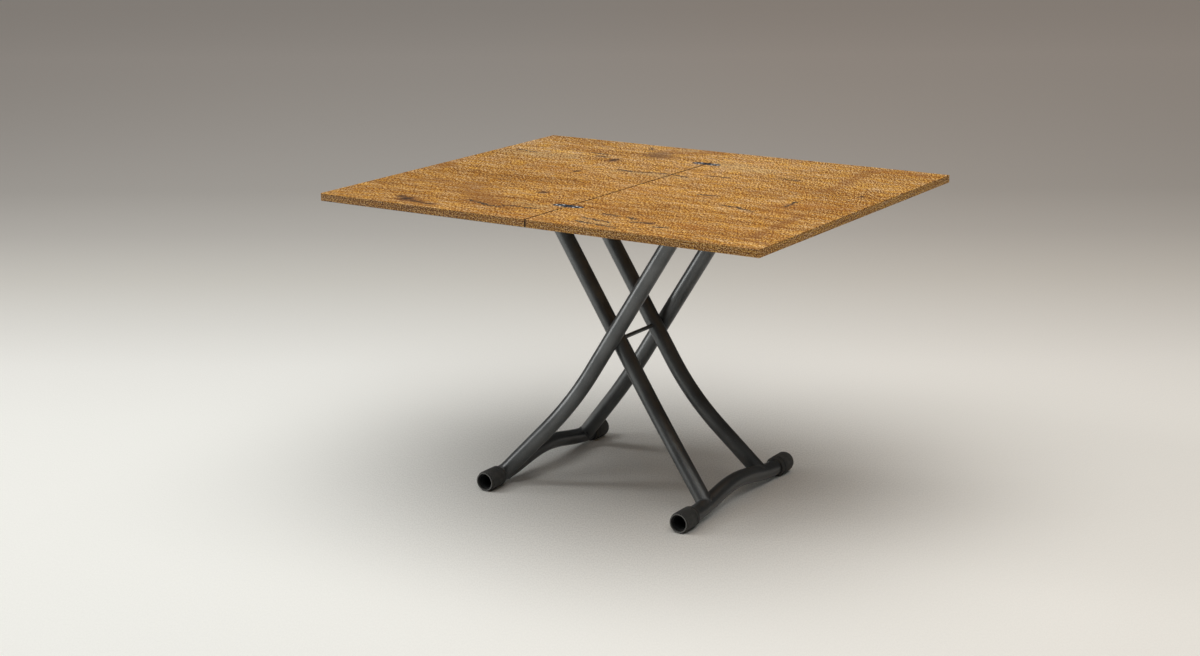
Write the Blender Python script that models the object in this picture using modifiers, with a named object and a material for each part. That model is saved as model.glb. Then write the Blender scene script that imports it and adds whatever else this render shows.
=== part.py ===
"""An extending table on a crossed-leg lift, whose top folds in half, turns a quarter and sinks.

Metres, +Z up. The origin is on the floor under the middle of the open top. +X runs along the open top,
square to its seam, and +Y runs along the seam and the foot bars. "Front" is the -Y side.
The table stands raised and open. The base stands a little in front of the middle of the open top, so the
pieces are placed with the base in the middle, and the whole table moves onto its origin at the end.
"""

import math

import bmesh
import bpy
from mathutils import Matrix, Vector

# Clearance between pieces that touch, and between pieces that turn or slide on each other
GAP = 0.0003
RUN = 0.0005

# Top: two boards that meet at a seam
TOP_HEIGHT = 0.760
TOP_LENGTH = 1.190
TOP_DEPTH = 1.000
BOARD = 0.019
SEAM = 0.001
SEAM_CHAMFER = 0.0017
EDGE_CHAMFER = 0.0008
BASE_FORWARD = 0.019

# Flush double-pin hinges across the seam
HINGE_Y = 0.323
HINGE_LENGTH = 0.082
HINGE_WIDTH = 0.025
HINGE_PLATE = 0.003
HINGE_PIN_DEPTH = 0.003
HINGE_PIN_RADIUS = 0.0012
HINGE_PIN_REACH = 0.009
HINGE_LINK_RADIUS = 0.0024
HINGE_LINK_WIDTH = 0.008
HINGE_BOSS_WALL = 0.002
FOLD_GAP = 0.001

# Crossed legs of round steel tube
TUBE_OD = 0.040
TUBE_WALL = 0.002
TUBE_SIDES = 16
INNER_LEG_Y = 0.086
LEG_GAP = 0.004
FOOT_X = 0.280
TOP_AXLE_X = 0.190
PIVOT_HEIGHT = 0.390
BEND_HEIGHT = 0.220
BEND_RADIUS = 0.77
BEND_STEPS = 7
OUTER_LANDING_Y = 0.188
INNER_LANDING_Y = 0.1395
PIVOT_ROD_RADIUS = 0.005
PIVOT_SPACER_RADIUS = 0.011
LOWERING_DEG = 45.0

# Humped foot bars and their rubber sleeves
BAR_HALF_LENGTH = 0.265
BAR_HUMP = 0.025
BAR_HUMP_HALF_LENGTH = 0.205
BAR_HUMP_STEPS = 16
SLEEVE_RADIUS = 0.0255
SLEEVE_LENGTH = 0.062
SLEEVE_OVERHANG = 0.007
SLEEVE_MOUTH = 0.005
SLEEVE_MOUTH_RADIUS = 0.0235
SLEEVE_COLLAR = 0.012
SLEEVE_GROOVE_WIDTH = 0.002
SLEEVE_GROOVE_DEPTH = 0.0022
SLEEVE_GROOVE_SLOPE = 0.001
SLEEVE_NOSE = 0.007
SLEEVE_NOSE_DROP = 0.004
SLEEVE_NOSE_STEPS = 3
SOLE_CUT = 0.0005

# Knuckles, pins and blocks at the tops of the legs
KNUCKLE_LENGTH = 0.048
AXLE_RADIUS = 0.006
TUBE_TO_RAIL = 0.005
SPIGOT_PLUG = 0.018
BLOCK_LENGTH = 0.050
BLOCK_ROUND = 0.0015

# Steel subframe under the top
RAIL_HEIGHT = 0.036
RAIL_DEPTH = 0.020
RAIL_WALL = 0.0025
RAIL_LEG_CLEARANCE = 0.016
RAIL_PAST_HINGE = 0.0525
RAIL_PAST_SLIDE = 0.059
CROSS_WIDTH = 0.027
CROSS_HEIGHT = 0.020
CROSS_WALL = 0.002
MID_CROSS_X = -0.110

# Quarter-turn swivel
BASE_PLATE = 0.003
BASE_PLATE_REACH = 0.136
TOP_PLATE = 0.003
TOP_PLATE_RADIUS = 0.105
BEARING = 0.0055
BEARING_RADIUS = 0.032
SWIVEL_DEG = 90.0
SWIVEL_BOLT_RADIUS = 0.006
SWIVEL_HEAD_RADIUS = 0.011
SWIVEL_HEAD = 0.005
SWIVEL_NUT = 0.0075
SWIVEL_NUT_RADIUS = 0.0105
STOP_RADIUS = 0.090
STOP_PIN_RADIUS = 0.004
STOP_START_DEG = 225.0
SPACER_LENGTH = 0.030
PAD_RADIUS = 0.014
PAD_CHAMFER = 0.0025
PAD_Y = 0.150

# Lockable gas spring and its release
EYE_WALL = 0.004
EYE_WIDTH = 0.024
EYE_NECK_RADIUS = 0.009
EYE_NECK = 0.012
CYLINDER_RADIUS = 0.011
CYLINDER_WALL = 0.0015
CYLINDER_END = 0.008
CYLINDER_GLAND = 0.005
ROD_RADIUS = 0.005
ROD_SHOWN = 0.014
PISTON = 0.008
PISTON_PLAY = 0.003
BRACKET_WALL = 0.004
BRACKET_CHEEK = 0.003
BRACKET_LENGTH = 0.026
BRACKET_WIDTH = 0.030
BRACKET_HEIGHT = 0.038
RELEASE_PIN_RADIUS = 0.0025
RELEASE_PIN_IN_ROD = 0.008
RELEASE_PIN_OUT = 0.005
RELEASE_PIN_PLAY = 0.005
LEVER_ARM = 0.011
LEVER_THICKNESS = 0.006
LEVER_BAR = 0.008
LEVER_HUB = 0.008
LEVER_NOSE = 0.004
LEVER_LENGTH = 0.072
LEVER_PIVOT_SETBACK = 0.010
LEVER_PIN_RADIUS = 0.002
GRIP_LENGTH = 0.060
GRIP_WIDTH = 0.032
GRIP_HEIGHT = 0.015
GRIP_PAST_LEVER = 0.026
GRIP_ROUND = 0.005

# Places that follow from the sizes above
TUBE_R = TUBE_OD / 2
OUTER_LEG_Y = INNER_LEG_Y + TUBE_OD + LEG_GAP
FOOT_Z = SLEEVE_RADIUS - SOLE_CUT
BOARD_BOTTOM = TOP_HEIGHT - BOARD
TOP_PLATE_Z = BOARD_BOTTOM - GAP - TOP_PLATE
BASE_PLATE_TOP = TOP_PLATE_Z - GAP - BEARING - GAP
BASE_PLATE_Z = BASE_PLATE_TOP - BASE_PLATE
CROSS_Z = BASE_PLATE_Z - GAP - CROSS_HEIGHT
RAIL_TOP = CROSS_Z - GAP
AXLE_Z = RAIL_TOP - RAIL_HEIGHT / 2
RAIL_INNER_Y = OUTER_LEG_Y + TUBE_R + RAIL_LEG_CLEARANCE
RAIL_OUTER_Y = RAIL_INNER_Y + RAIL_DEPTH
CHANNEL_HEIGHT = RAIL_HEIGHT - 2 * RAIL_WALL
CHANNEL_END_Y = RAIL_OUTER_Y - RAIL_WALL - GAP
INNER_TUBE_HALF_LENGTH = RAIL_INNER_Y - TUBE_TO_RAIL

# Lowering turns both frames about their feet, and the slide end runs out along the rails
PIVOT_TO_AXLE = math.hypot(TOP_AXLE_X, AXLE_Z - PIVOT_HEIGHT)
PIVOT_TO_AXLE_ANGLE = math.atan2(AXLE_Z - PIVOT_HEIGHT, TOP_AXLE_X)
LOWERING = math.radians(LOWERING_DEG)
LOW_HALF_SPREAD = PIVOT_TO_AXLE * math.cos(PIVOT_TO_AXLE_ANGLE - LOWERING)
SLIDE_TRAVEL = 2 * (LOW_HALF_SPREAD - TOP_AXLE_X)
LOW_BASE_X = TOP_AXLE_X - LOW_HALF_SPREAD
RAIL_START = -TOP_AXLE_X - SLIDE_TRAVEL - RAIL_PAST_SLIDE
RAIL_END = TOP_AXLE_X + RAIL_PAST_HINGE
LEFT_CROSS_X = RAIL_START + CROSS_WIDTH / 2
RIGHT_CROSS_X = RAIL_END - CROSS_WIDTH / 2

# The quarter turn puts the folded top over the middle of the lowered base
FOLDED_CENTRE_X = -TOP_LENGTH / 4
SWIVEL_X = (LOW_BASE_X + BASE_FORWARD + FOLDED_CENTRE_X) / 2
SWIVEL_Y = (LOW_BASE_X + BASE_FORWARD - FOLDED_CENTRE_X) / 2
PLATE_LOW_X = SWIVEL_X - BASE_PLATE_REACH
PLATE_HIGH_X = MID_CROSS_X + CROSS_WIDTH / 2

# The hinge pins stand so far apart that the folded leaves lie face to face with a small gap
HINGE_PIN_X = HINGE_PIN_DEPTH + FOLD_GAP / 2
BOSS_DEPTH = HINGE_PIN_DEPTH + HINGE_LINK_RADIUS + HINGE_BOSS_WALL
BOSS_END = HINGE_PIN_X + HINGE_LINK_RADIUS + RUN + HINGE_BOSS_WALL
BOSS_HALF_WIDTH = HINGE_PIN_REACH + RUN + HINGE_BOSS_WALL

# Axes that the bodies turn on
OUTER_FOOT = Vector((-FOOT_X, 0, FOOT_Z))
INNER_FOOT = Vector((FOOT_X, 0, FOOT_Z))
CROSSING = Vector((0, 0, PIVOT_HEIGHT))
FIXED_AXLE = Vector((TOP_AXLE_X, 0, AXLE_Z))
SLIDING_AXLE = Vector((-TOP_AXLE_X, 0, AXLE_Z))
SWIVEL = Vector((SWIVEL_X, SWIVEL_Y, BOARD_BOTTOM))
FIXED_PIN = Vector((-HINGE_PIN_X, BASE_FORWARD, TOP_HEIGHT - HINGE_PIN_DEPTH))
FOLDING_PIN = Vector((HINGE_PIN_X, BASE_FORWARD, TOP_HEIGHT - HINGE_PIN_DEPTH))
BRACKET_X = RAIL_END - CROSS_WIDTH
LEVER_AXIS = Vector((BRACKET_X + BRACKET_WALL + LEVER_PIVOT_SETBACK, 0, AXLE_Z - LEVER_ARM))

# A cope is cut by a shape whose flats, not its corners, clear the tube
COPE_RADIUS = (TUBE_R + GAP) / math.cos(math.pi / TUBE_SIDES)

SIDES = {"front": -1, "back": 1}
UP = Vector((0, 0, 1))
ALONG_X = Vector((1, 0, 0))
ALONG_Y = Vector((0, 1, 0))

for old in list(bpy.data.objects):
    bpy.data.objects.remove(old, do_unlink=True)
table = bpy.data.collections.new("extending_table")
cutters = bpy.data.collections.new("cutters")
bpy.context.scene.collection.children.link(table)
bpy.context.scene.collection.children.link(cutters)


def finish(name, colour, roughness, metallic):
    """A plain material in the colour that the piece has."""
    material = bpy.data.materials.new(name)
    material.use_nodes = True
    shader = material.node_tree.nodes["Principled BSDF"]
    shader.inputs["Base Color"].default_value = (*colour, 1)
    shader.inputs["Roughness"].default_value = roughness
    shader.inputs["Metallic"].default_value = metallic
    return material


OAK = finish("oak_print", (0.44, 0.24, 0.085), 0.55, 0)
COAT = finish("anthracite_powder_coat", (0.028, 0.030, 0.032), 0.45, 0.2)
RUBBER = finish("black_rubber", (0.014, 0.014, 0.014), 0.8, 0)
STEEL = finish("zinc_plated_steel", (0.55, 0.55, 0.54), 0.35, 1)
GRAPHITE = finish("graphite_hinge", (0.06, 0.065, 0.075), 0.4, 0.9)
NYLON = finish("black_nylon", (0.02, 0.02, 0.02), 0.55, 0)
GREASED = finish("gas_cylinder_lacquer", (0.02, 0.02, 0.022), 0.3, 0.1)
CHROME = finish("ground_rod", (0.75, 0.75, 0.76), 0.12, 1)


def axis_empty(name, point, parent=None):
    """An empty on a joint's axis, which the pieces of one moving body hang on."""
    empty = bpy.data.objects.new(name, None)
    table.objects.link(empty)
    empty.parent = parent
    empty.location = point - (parent.matrix_world.translation if parent else Vector())
    bpy.context.view_layer.update()
    return empty


def piece(name, mesh, material, body, turn=None, at=(0, 0, 0)):
    """A finished sub-part, turned and placed, and carried by the empty of its body."""
    obj = bpy.data.objects.new(name, mesh)
    table.objects.link(obj)
    mesh.materials.append(material)
    obj.matrix_world = Matrix.Translation(at) @ (turn.to_4x4() if turn else Matrix.Identity(4))
    obj.parent = body
    obj.matrix_parent_inverse = body.matrix_world.inverted()
    return obj


def cutter(name, mesh, turn=None, at=(0, 0, 0)):
    """A helper shape for a Boolean, which isn't part of the table."""
    obj = bpy.data.objects.new(name + "_cutter", mesh)
    cutters.objects.link(obj)
    obj.matrix_world = Matrix.Translation(at) @ (turn.to_4x4() if turn else Matrix.Identity(4))
    obj.hide_render = True
    obj.display_type = "WIRE"
    return obj


def boolean(obj, other, operation="DIFFERENCE"):
    modifier = obj.modifiers.new(operation.lower() + "_" + other.name, "BOOLEAN")
    modifier.operation = operation
    modifier.object = other
    modifier.solver = "EXACT"


def smooth(mesh, sharp_deg=35):
    mesh.shade_smooth()
    mesh.set_sharp_from_angle(angle=math.radians(sharp_deg))
    return mesh


def box_mesh(name, low, high):
    """A box between two corners."""
    low, high = Vector(low), Vector(high)
    shape = bmesh.new()
    bmesh.ops.create_cube(shape, size=1)
    bmesh.ops.scale(shape, vec=high - low, verts=shape.verts)
    bmesh.ops.translate(shape, vec=(low + high) / 2, verts=shape.verts)
    mesh = bpy.data.meshes.new(name)
    shape.to_mesh(mesh)
    shape.free()
    return mesh


def rod_mesh(name, radius, start, end, sides=16):
    """A round bar between two points."""
    start, end = Vector(start), Vector(end)
    shape = bmesh.new()
    bmesh.ops.create_cone(
        shape, cap_ends=True, segments=sides, radius1=radius, radius2=radius, depth=(end - start).length
    )
    turn = UP.rotation_difference(end - start).to_matrix().to_4x4()
    bmesh.ops.transform(shape, matrix=Matrix.Translation((start + end) / 2) @ turn, verts=shape.verts)
    mesh = bpy.data.meshes.new(name)
    shape.to_mesh(mesh)
    shape.free()
    return smooth(mesh)


def evaluated_mesh(helper):
    """A helper object's shape as a mesh of its own, with its caps welded and its faces outwards."""
    bpy.context.scene.collection.objects.link(helper)
    bpy.context.view_layer.update()
    graph = bpy.context.evaluated_depsgraph_get()
    mesh = bpy.data.meshes.new_from_object(helper.evaluated_get(graph))
    mesh.name = helper.name
    mesh.materials.clear()
    bpy.data.objects.remove(helper)
    shape = bmesh.new()
    shape.from_mesh(mesh)
    bmesh.ops.remove_doubles(shape, verts=shape.verts, dist=1e-6)
    bmesh.ops.recalc_face_normals(shape, faces=shape.faces)
    shape.to_mesh(mesh)
    shape.free()
    return mesh


def swept_mesh(name, path, radius, capped, sides=TUBE_SIDES):
    """A round tube along a path, as an open skin or a capped bar."""
    curve = bpy.data.curves.new(name, "CURVE")
    curve.dimensions = "3D"
    curve.bevel_depth = radius
    curve.bevel_resolution = (sides - 4) // 2
    curve.use_fill_caps = capped
    spline = curve.splines.new("POLY")
    spline.points.add(len(path) - 1)
    for point, place in zip(spline.points, path):
        point.co = (*place, 1)
    return smooth(evaluated_mesh(bpy.data.objects.new(name, curve)), 50)


def hollow(obj, wall):
    """Gives a tube's skin its wall, inwards."""
    modifier = obj.modifiers.new("wall", "SOLIDIFY")
    modifier.thickness = wall
    modifier.offset = -1
    modifier.use_even_offset = True


def outline_mesh(name, loops, thickness):
    """A flat outline with any holes, as thick as it says, from z = 0 up."""
    curve = bpy.data.curves.new(name, "CURVE")
    curve.dimensions = "2D"
    curve.fill_mode = "BOTH"
    curve.extrude = thickness / 2
    for loop in loops:
        spline = curve.splines.new("POLY")
        spline.points.add(len(loop) - 1)
        for point, place in zip(spline.points, loop):
            point.co = (*place, 0, 1)
        spline.use_cyclic_u = True
    mesh = evaluated_mesh(bpy.data.objects.new(name, curve))
    mesh.transform(Matrix.Translation((0, 0, thickness / 2)))
    return mesh


def arc(centre, radius, start_deg, end_deg, steps):
    """Points round an arc, both ends included."""
    angles = [math.radians(start_deg + (end_deg - start_deg) * i / steps) for i in range(steps + 1)]
    return [(centre[0] + radius * math.cos(a), centre[1] + radius * math.sin(a)) for a in angles]


def ring(centre, radius, steps=24):
    return arc(centre, radius, 0, 360, steps)[:-1]


def rectangle(low, high):
    return [(low[0], low[1]), (high[0], low[1]), (high[0], high[1]), (low[0], high[1])]


def turned(name, profile, material, body, start, direction, steps=20, closed=False):
    """A turned piece: (radius, height) points down its outer side, set along a direction from a start point."""
    shape = bmesh.new()
    points = [shape.verts.new((radius, 0, height)) for radius, height in profile]
    for first, second in zip(points, points[1:] + (points[:1] if closed else [])):
        shape.edges.new((first, second))
    mesh = bpy.data.meshes.new(name)
    shape.to_mesh(mesh)
    shape.free()
    helper = bpy.data.objects.new(name, mesh)
    screw = helper.modifiers.new("turn", "SCREW")
    screw.steps = steps
    screw.render_steps = steps
    screw.use_merge_vertices = True
    screw.merge_threshold = 1e-6
    turn = UP.rotation_difference(direction).to_matrix()
    return piece(name, smooth(evaluated_mesh(helper)), material, body, turn, start)


# Local X, Y and Z of an outline that is drawn in world X and Z, or in world Y and Z
DRAWN_XZ = Matrix(((1, 0, 0), (0, 0, -1), (0, 1, 0)))
DRAWN_YZ = Matrix(((0, 0, 1), (1, 0, 0), (0, 1, 0)))

outer_feet = axis_empty("outer_feet_axis", OUTER_FOOT)
outer_frame = axis_empty("outer_frame_axis", OUTER_FOOT, outer_feet)
inner_frame = axis_empty("inner_frame_axis", CROSSING, outer_frame)
inner_feet = axis_empty("inner_feet_axis", INNER_FOOT, inner_frame)
carriage = axis_empty("carriage_axis", SLIDING_AXLE, inner_frame)
subframe = axis_empty("subframe_axis", FIXED_AXLE, outer_frame)
lever = axis_empty("lever_axis", LEVER_AXIS, subframe)
release = axis_empty("release_pin_axis", FIXED_AXLE, subframe)
fixed_top = axis_empty("fixed_leaf_axis", SWIVEL, subframe)
links = axis_empty("hinge_link_axis", FIXED_PIN, fixed_top)
folding_top = axis_empty("folding_leaf_axis", FOLDING_PIN, links)


def hump(y):
    """How far the foot bar rises over its straight ends."""
    if abs(y) >= BAR_HUMP_HALF_LENGTH:
        return 0.0
    return BAR_HUMP * math.cos(math.pi * y / (2 * BAR_HUMP_HALF_LENGTH)) ** 2


def bar_path(x):
    """A foot bar's centre line: straight ends and a hump in the middle."""
    steps = range(BAR_HUMP_STEPS + 1)
    middle = [BAR_HUMP_HALF_LENGTH * (2 * i / BAR_HUMP_STEPS - 1) for i in steps]
    return [Vector((x, y, FOOT_Z + hump(y))) for y in [-BAR_HALF_LENGTH, *middle, BAR_HALF_LENGTH]]


def leg_path(top_x, leg_y, landing_y, side):
    """A leg's centre line: straight from the top axle past the crossing, then a long bend out to the bar."""
    top = Vector((top_x, side * leg_y, AXLE_Z))
    crossing = Vector((0, side * leg_y, PIVOT_HEIGHT))
    upper = (crossing - top).normalized()
    corner = crossing + upper * ((PIVOT_HEIGHT - BEND_HEIGHT) / -upper.z)
    foot = Vector((math.copysign(FOOT_X, -top_x), side * landing_y, FOOT_Z + hump(landing_y)))
    lower = (foot - corner).normalized()
    bend = upper.angle(lower)
    tangent = BEND_RADIUS * math.tan(bend / 2)
    inward = (lower - upper * upper.dot(lower)).normalized()
    start = corner - upper * tangent
    centre = start + inward * BEND_RADIUS
    angles = [bend * i / BEND_STEPS for i in range(BEND_STEPS + 1)]
    curve = [centre + BEND_RADIUS * (upper * math.sin(a) - inward * math.cos(a)) for a in angles]
    return [top, *curve, foot]


# Rubber sleeves on the bar ends, with a narrower mouth, a groove and a rounded inner collar
def foot_sleeve(name, x, side, body):
    bore = TUBE_R + RUN
    barrel_end = SLEEVE_LENGTH - SLEEVE_MOUTH - SLEEVE_GROOVE_SLOPE
    groove_radius = SLEEVE_RADIUS - SLEEVE_GROOVE_DEPTH
    groove_start = SLEEVE_COLLAR + SLEEVE_GROOVE_SLOPE
    groove_end = groove_start + SLEEVE_GROOVE_WIDTH
    quarter = [math.pi / 2 * i / SLEEVE_NOSE_STEPS for i in range(SLEEVE_NOSE_STEPS + 1)]
    nose_radius = [SLEEVE_RADIUS - SLEEVE_NOSE_DROP * (1 - math.cos(a)) for a in quarter]
    nose_height = [SLEEVE_NOSE * (1 - math.sin(a)) for a in quarter]
    profile = [
        (SLEEVE_MOUTH_RADIUS - SLEEVE_GROOVE_SLOPE, SLEEVE_LENGTH),
        (SLEEVE_MOUTH_RADIUS, SLEEVE_LENGTH - SLEEVE_GROOVE_SLOPE),
        (SLEEVE_MOUTH_RADIUS, SLEEVE_LENGTH - SLEEVE_MOUTH),
        (SLEEVE_RADIUS, barrel_end),
        (SLEEVE_RADIUS, groove_end + SLEEVE_GROOVE_SLOPE),
        (groove_radius, groove_end),
        (groove_radius, groove_start),
        (SLEEVE_RADIUS, SLEEVE_COLLAR),
        *zip(nose_radius, nose_height),
        (bore, 0),
        (bore, SLEEVE_LENGTH),
    ]
    inner_end = BAR_HALF_LENGTH + SLEEVE_OVERHANG - SLEEVE_LENGTH
    start = (x, side * inner_end, FOOT_Z)
    sleeve = turned(name, profile, RUBBER, body, start, ALONG_Y * side, 24, closed=True)
    far = 2 * SLEEVE_LENGTH
    ground = box_mesh(name, (x - far, side * inner_end - far, -far), (x + far, side * inner_end + far, 0))
    boolean(sleeve, cutter(name, ground))


for side_name, side in SIDES.items():
    foot_sleeve("outer_foot_" + side_name, -FOOT_X, side, outer_feet)
    foot_sleeve("inner_foot_" + side_name, FOOT_X, side, inner_feet)


# Two frames of bent tube: each has a humped foot bar and two legs coped round it
def frame(name, foot_x, leg_y, landing_y, body, hole_from, hole_to):
    bar = piece(name + "_foot_bar", swept_mesh(name, bar_path(foot_x), TUBE_R, False), COAT, body)
    hollow(bar, TUBE_WALL)
    bar_seat = cutter(name + "_bar_seat", swept_mesh(name, bar_path(foot_x), COPE_RADIUS, True))
    top_x = math.copysign(TOP_AXLE_X, -foot_x)
    reach = leg_y + TUBE_OD
    axle = rod_mesh(name, COPE_RADIUS, (top_x, -reach, AXLE_Z), (top_x, reach, AXLE_Z), TUBE_SIDES)
    axle_seat = cutter(name + "_axle_seat", axle)
    for side_name, side in SIDES.items():
        leg_name = name + "_leg_" + side_name
        path = leg_path(top_x, leg_y, landing_y, side)
        leg = piece(leg_name, swept_mesh(leg_name, path, TUBE_R, False), COAT, body)
        hollow(leg, TUBE_WALL)
        hole_ends = [CROSSING + ALONG_Y * side * y for y in (hole_from, hole_to)]
        hole = rod_mesh(leg_name, PIVOT_ROD_RADIUS + GAP, *hole_ends)
        boolean(leg, bar_seat)
        boolean(leg, axle_seat)
        boolean(leg, cutter(leg_name + "_pivot_hole", hole))


frame("outer", -FOOT_X, OUTER_LEG_Y, OUTER_LANDING_Y, outer_frame, INNER_LEG_Y, OUTER_LEG_Y)
through_leg = (INNER_LEG_Y - TUBE_OD, INNER_LEG_Y + TUBE_OD)
frame("inner", FOOT_X, INNER_LEG_Y, INNER_LANDING_Y, inner_frame, *through_leg)

# The pivot rod ends inside the outer legs, so nothing shows on their outer sides
rod_reach = ALONG_Y * (OUTER_LEG_Y - TUBE_WALL)
rod_ends = (CROSSING - rod_reach, CROSSING + rod_reach)
piece("pivot_rod", rod_mesh("pivot_rod", PIVOT_ROD_RADIUS, *rod_ends), COAT, outer_frame)


def washer(name, outer, bore, length, material, body, start, direction):
    """A turned ring from a start point along a direction."""
    profile = [(outer, length), (outer, 0), (bore, 0), (bore, length)]
    return turned(name, profile, material, body, start, direction, closed=True)


for side_name, side in SIDES.items():
    washer(
        "pivot_spacer_" + side_name, PIVOT_SPACER_RADIUS, PIVOT_ROD_RADIUS + GAP, LEG_GAP - 2 * GAP, NYLON,
        outer_frame, CROSSING + ALONG_Y * side * (INNER_LEG_Y + TUBE_R + GAP), ALONG_Y * side,
    )

# Tops of the outer legs: a knuckle on each, turning on a pin whose head fills the rail's channel
for side_name, side in SIDES.items():
    knuckle_start = FIXED_AXLE + ALONG_Y * side * (OUTER_LEG_Y - KNUCKLE_LENGTH / 2)
    washer(
        "outer_knuckle_" + side_name, TUBE_R, AXLE_RADIUS + GAP, KNUCKLE_LENGTH, COAT, outer_frame,
        knuckle_start, ALONG_Y * side,
    )
    shank = RAIL_INNER_Y + GAP - (OUTER_LEG_Y - KNUCKLE_LENGTH / 2)
    head = CHANNEL_END_Y - RAIL_INNER_Y - GAP
    head_radius = CHANNEL_HEIGHT / 2 - GAP
    profile = [(0, shank + head), (head_radius, shank + head), (head_radius, shank)]
    profile += [(AXLE_RADIUS, shank), (AXLE_RADIUS, 0), (0, 0)]
    turned("hinge_pin_" + side_name, profile, STEEL, subframe, knuckle_start, ALONG_Y * side)

# Tops of the inner legs: a cross tube with a spigot in each end, turning in a block that slides in the rail
tube_reach = ALONG_Y * INNER_TUBE_HALF_LENGTH
tube_ends = [SLIDING_AXLE - tube_reach, SLIDING_AXLE + tube_reach]
top_tube = piece("inner_top_tube", swept_mesh("inner_top_tube", tube_ends, TUBE_R, False), COAT, inner_frame)
hollow(top_tube, TUBE_WALL)
for side_name, side in SIDES.items():
    plug_radius = (TUBE_R - TUBE_WALL) * math.cos(math.pi / TUBE_SIDES) - GAP
    shank = CHANNEL_END_Y - INNER_TUBE_HALF_LENGTH - RUN
    length = SPIGOT_PLUG + shank
    profile = [(0, length), (AXLE_RADIUS, length), (AXLE_RADIUS, SPIGOT_PLUG), (plug_radius, SPIGOT_PLUG)]
    profile += [(plug_radius, 0), (0, 0)]
    start = SLIDING_AXLE + ALONG_Y * side * (INNER_TUBE_HALF_LENGTH - SPIGOT_PLUG)
    turned("slide_spigot_" + side_name, profile, STEEL, inner_frame, start, ALONG_Y * side)
    block_high = CHANNEL_HEIGHT / 2 - GAP
    block_y = sorted((side * (RAIL_INNER_Y + RUN), side * CHANNEL_END_Y))
    low = (-TOP_AXLE_X - BLOCK_LENGTH / 2, block_y[0], AXLE_Z - block_high)
    high = (-TOP_AXLE_X + BLOCK_LENGTH / 2, block_y[1], AXLE_Z + block_high)
    block = piece("slide_block_" + side_name, box_mesh("slide_block", low, high), NYLON, carriage)
    rounding = block.modifiers.new("rounding", "BEVEL")
    rounding.width = BLOCK_ROUND
    rounding.segments = 1
    bore_y = (RAIL_INNER_Y - RAIL_DEPTH, RAIL_OUTER_Y + RAIL_DEPTH)
    bore_ends = [SLIDING_AXLE + ALONG_Y * side * y for y in bore_y]
    bore = rod_mesh("block_bore", AXLE_RADIUS + GAP, *bore_ends, 20)
    boolean(block, cutter("slide_block_" + side_name, bore))

# Channel rails, open towards the legs
for side_name, side in SIDES.items():
    web = RAIL_OUTER_Y - RAIL_WALL
    section = [
        (RAIL_INNER_Y, 0), (RAIL_OUTER_Y, 0), (RAIL_OUTER_Y, RAIL_HEIGHT), (RAIL_INNER_Y, RAIL_HEIGHT),
        (RAIL_INNER_Y, RAIL_HEIGHT - RAIL_WALL), (web, RAIL_HEIGHT - RAIL_WALL), (web, RAIL_WALL),
        (RAIL_INNER_Y, RAIL_WALL),
    ]
    mesh = outline_mesh("rail", [[(side * y, z) for y, z in section]], RAIL_END - RAIL_START)
    piece("rail_" + side_name, mesh, COAT, subframe, DRAWN_YZ, (RAIL_START, 0, RAIL_TOP - RAIL_HEIGHT))


# Box-section cross members on the rails, and spacers that carry the far edge of the swivel plate
def cross_member(name, centre_x):
    low = (centre_x - CROSS_WIDTH / 2, CROSS_Z)
    high = (centre_x + CROSS_WIDTH / 2, CROSS_Z + CROSS_HEIGHT)
    inner_low = (low[0] + CROSS_WALL, low[1] + CROSS_WALL)
    inner_high = (high[0] - CROSS_WALL, high[1] - CROSS_WALL)
    loops = [rectangle(low, high), rectangle(inner_low, inner_high)]
    mesh = outline_mesh(name, loops, 2 * RAIL_OUTER_Y)
    piece(name, mesh, COAT, subframe, DRAWN_XZ, (0, RAIL_OUTER_Y, 0))


cross_member("cross_member_left", LEFT_CROSS_X)
cross_member("cross_member_middle", MID_CROSS_X)
cross_member("cross_member_right", RIGHT_CROSS_X)
for side_name, side in SIDES.items():
    spacer_y = sorted((side * RAIL_INNER_Y, side * RAIL_OUTER_Y))
    low = (PLATE_LOW_X, spacer_y[0], CROSS_Z)
    high = (PLATE_LOW_X + SPACER_LENGTH, spacer_y[1], CROSS_Z + CROSS_HEIGHT)
    piece("plate_spacer_" + side_name, box_mesh("plate_spacer", low, high), COAT, subframe)

# Swivel: a base plate with a quarter-turn slot, a bearing ring, a round top plate, a bolt and a stop pin
swivel_xy = (SWIVEL_X, SWIVEL_Y)
slot_half = STOP_PIN_RADIUS + RUN
stop_end_deg = STOP_START_DEG + SWIVEL_DEG


def slot_end(angle_deg, first_deg):
    """The round end of the slot, at one end of the stop pin's travel."""
    centre = arc(swivel_xy, STOP_RADIUS, angle_deg, angle_deg, 1)[0]
    return arc(centre, slot_half, first_deg, first_deg + 180, 8)


stop_slot = arc(swivel_xy, STOP_RADIUS + slot_half, STOP_START_DEG, stop_end_deg, 16)
stop_slot += slot_end(stop_end_deg, stop_end_deg)[1:-1]
stop_slot += arc(swivel_xy, STOP_RADIUS - slot_half, stop_end_deg, STOP_START_DEG, 16)
stop_slot += slot_end(STOP_START_DEG, STOP_START_DEG + 180)[1:-1]
plate_loops = [
    rectangle((PLATE_LOW_X, -RAIL_OUTER_Y), (PLATE_HIGH_X, RAIL_OUTER_Y)),
    ring(swivel_xy, SWIVEL_BOLT_RADIUS + GAP),
    stop_slot,
]
base_plate = outline_mesh("swivel_base_plate", plate_loops, BASE_PLATE)
piece("swivel_base_plate", base_plate, COAT, subframe, at=(0, 0, BASE_PLATE_Z))
washer(
    "swivel_bearing", BEARING_RADIUS, SWIVEL_BOLT_RADIUS + GAP, BEARING, NYLON, subframe,
    (SWIVEL_X, SWIVEL_Y, BASE_PLATE_TOP + GAP), UP,
)
stop_xy = arc(swivel_xy, STOP_RADIUS, STOP_START_DEG, STOP_START_DEG, 1)[0]
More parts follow.
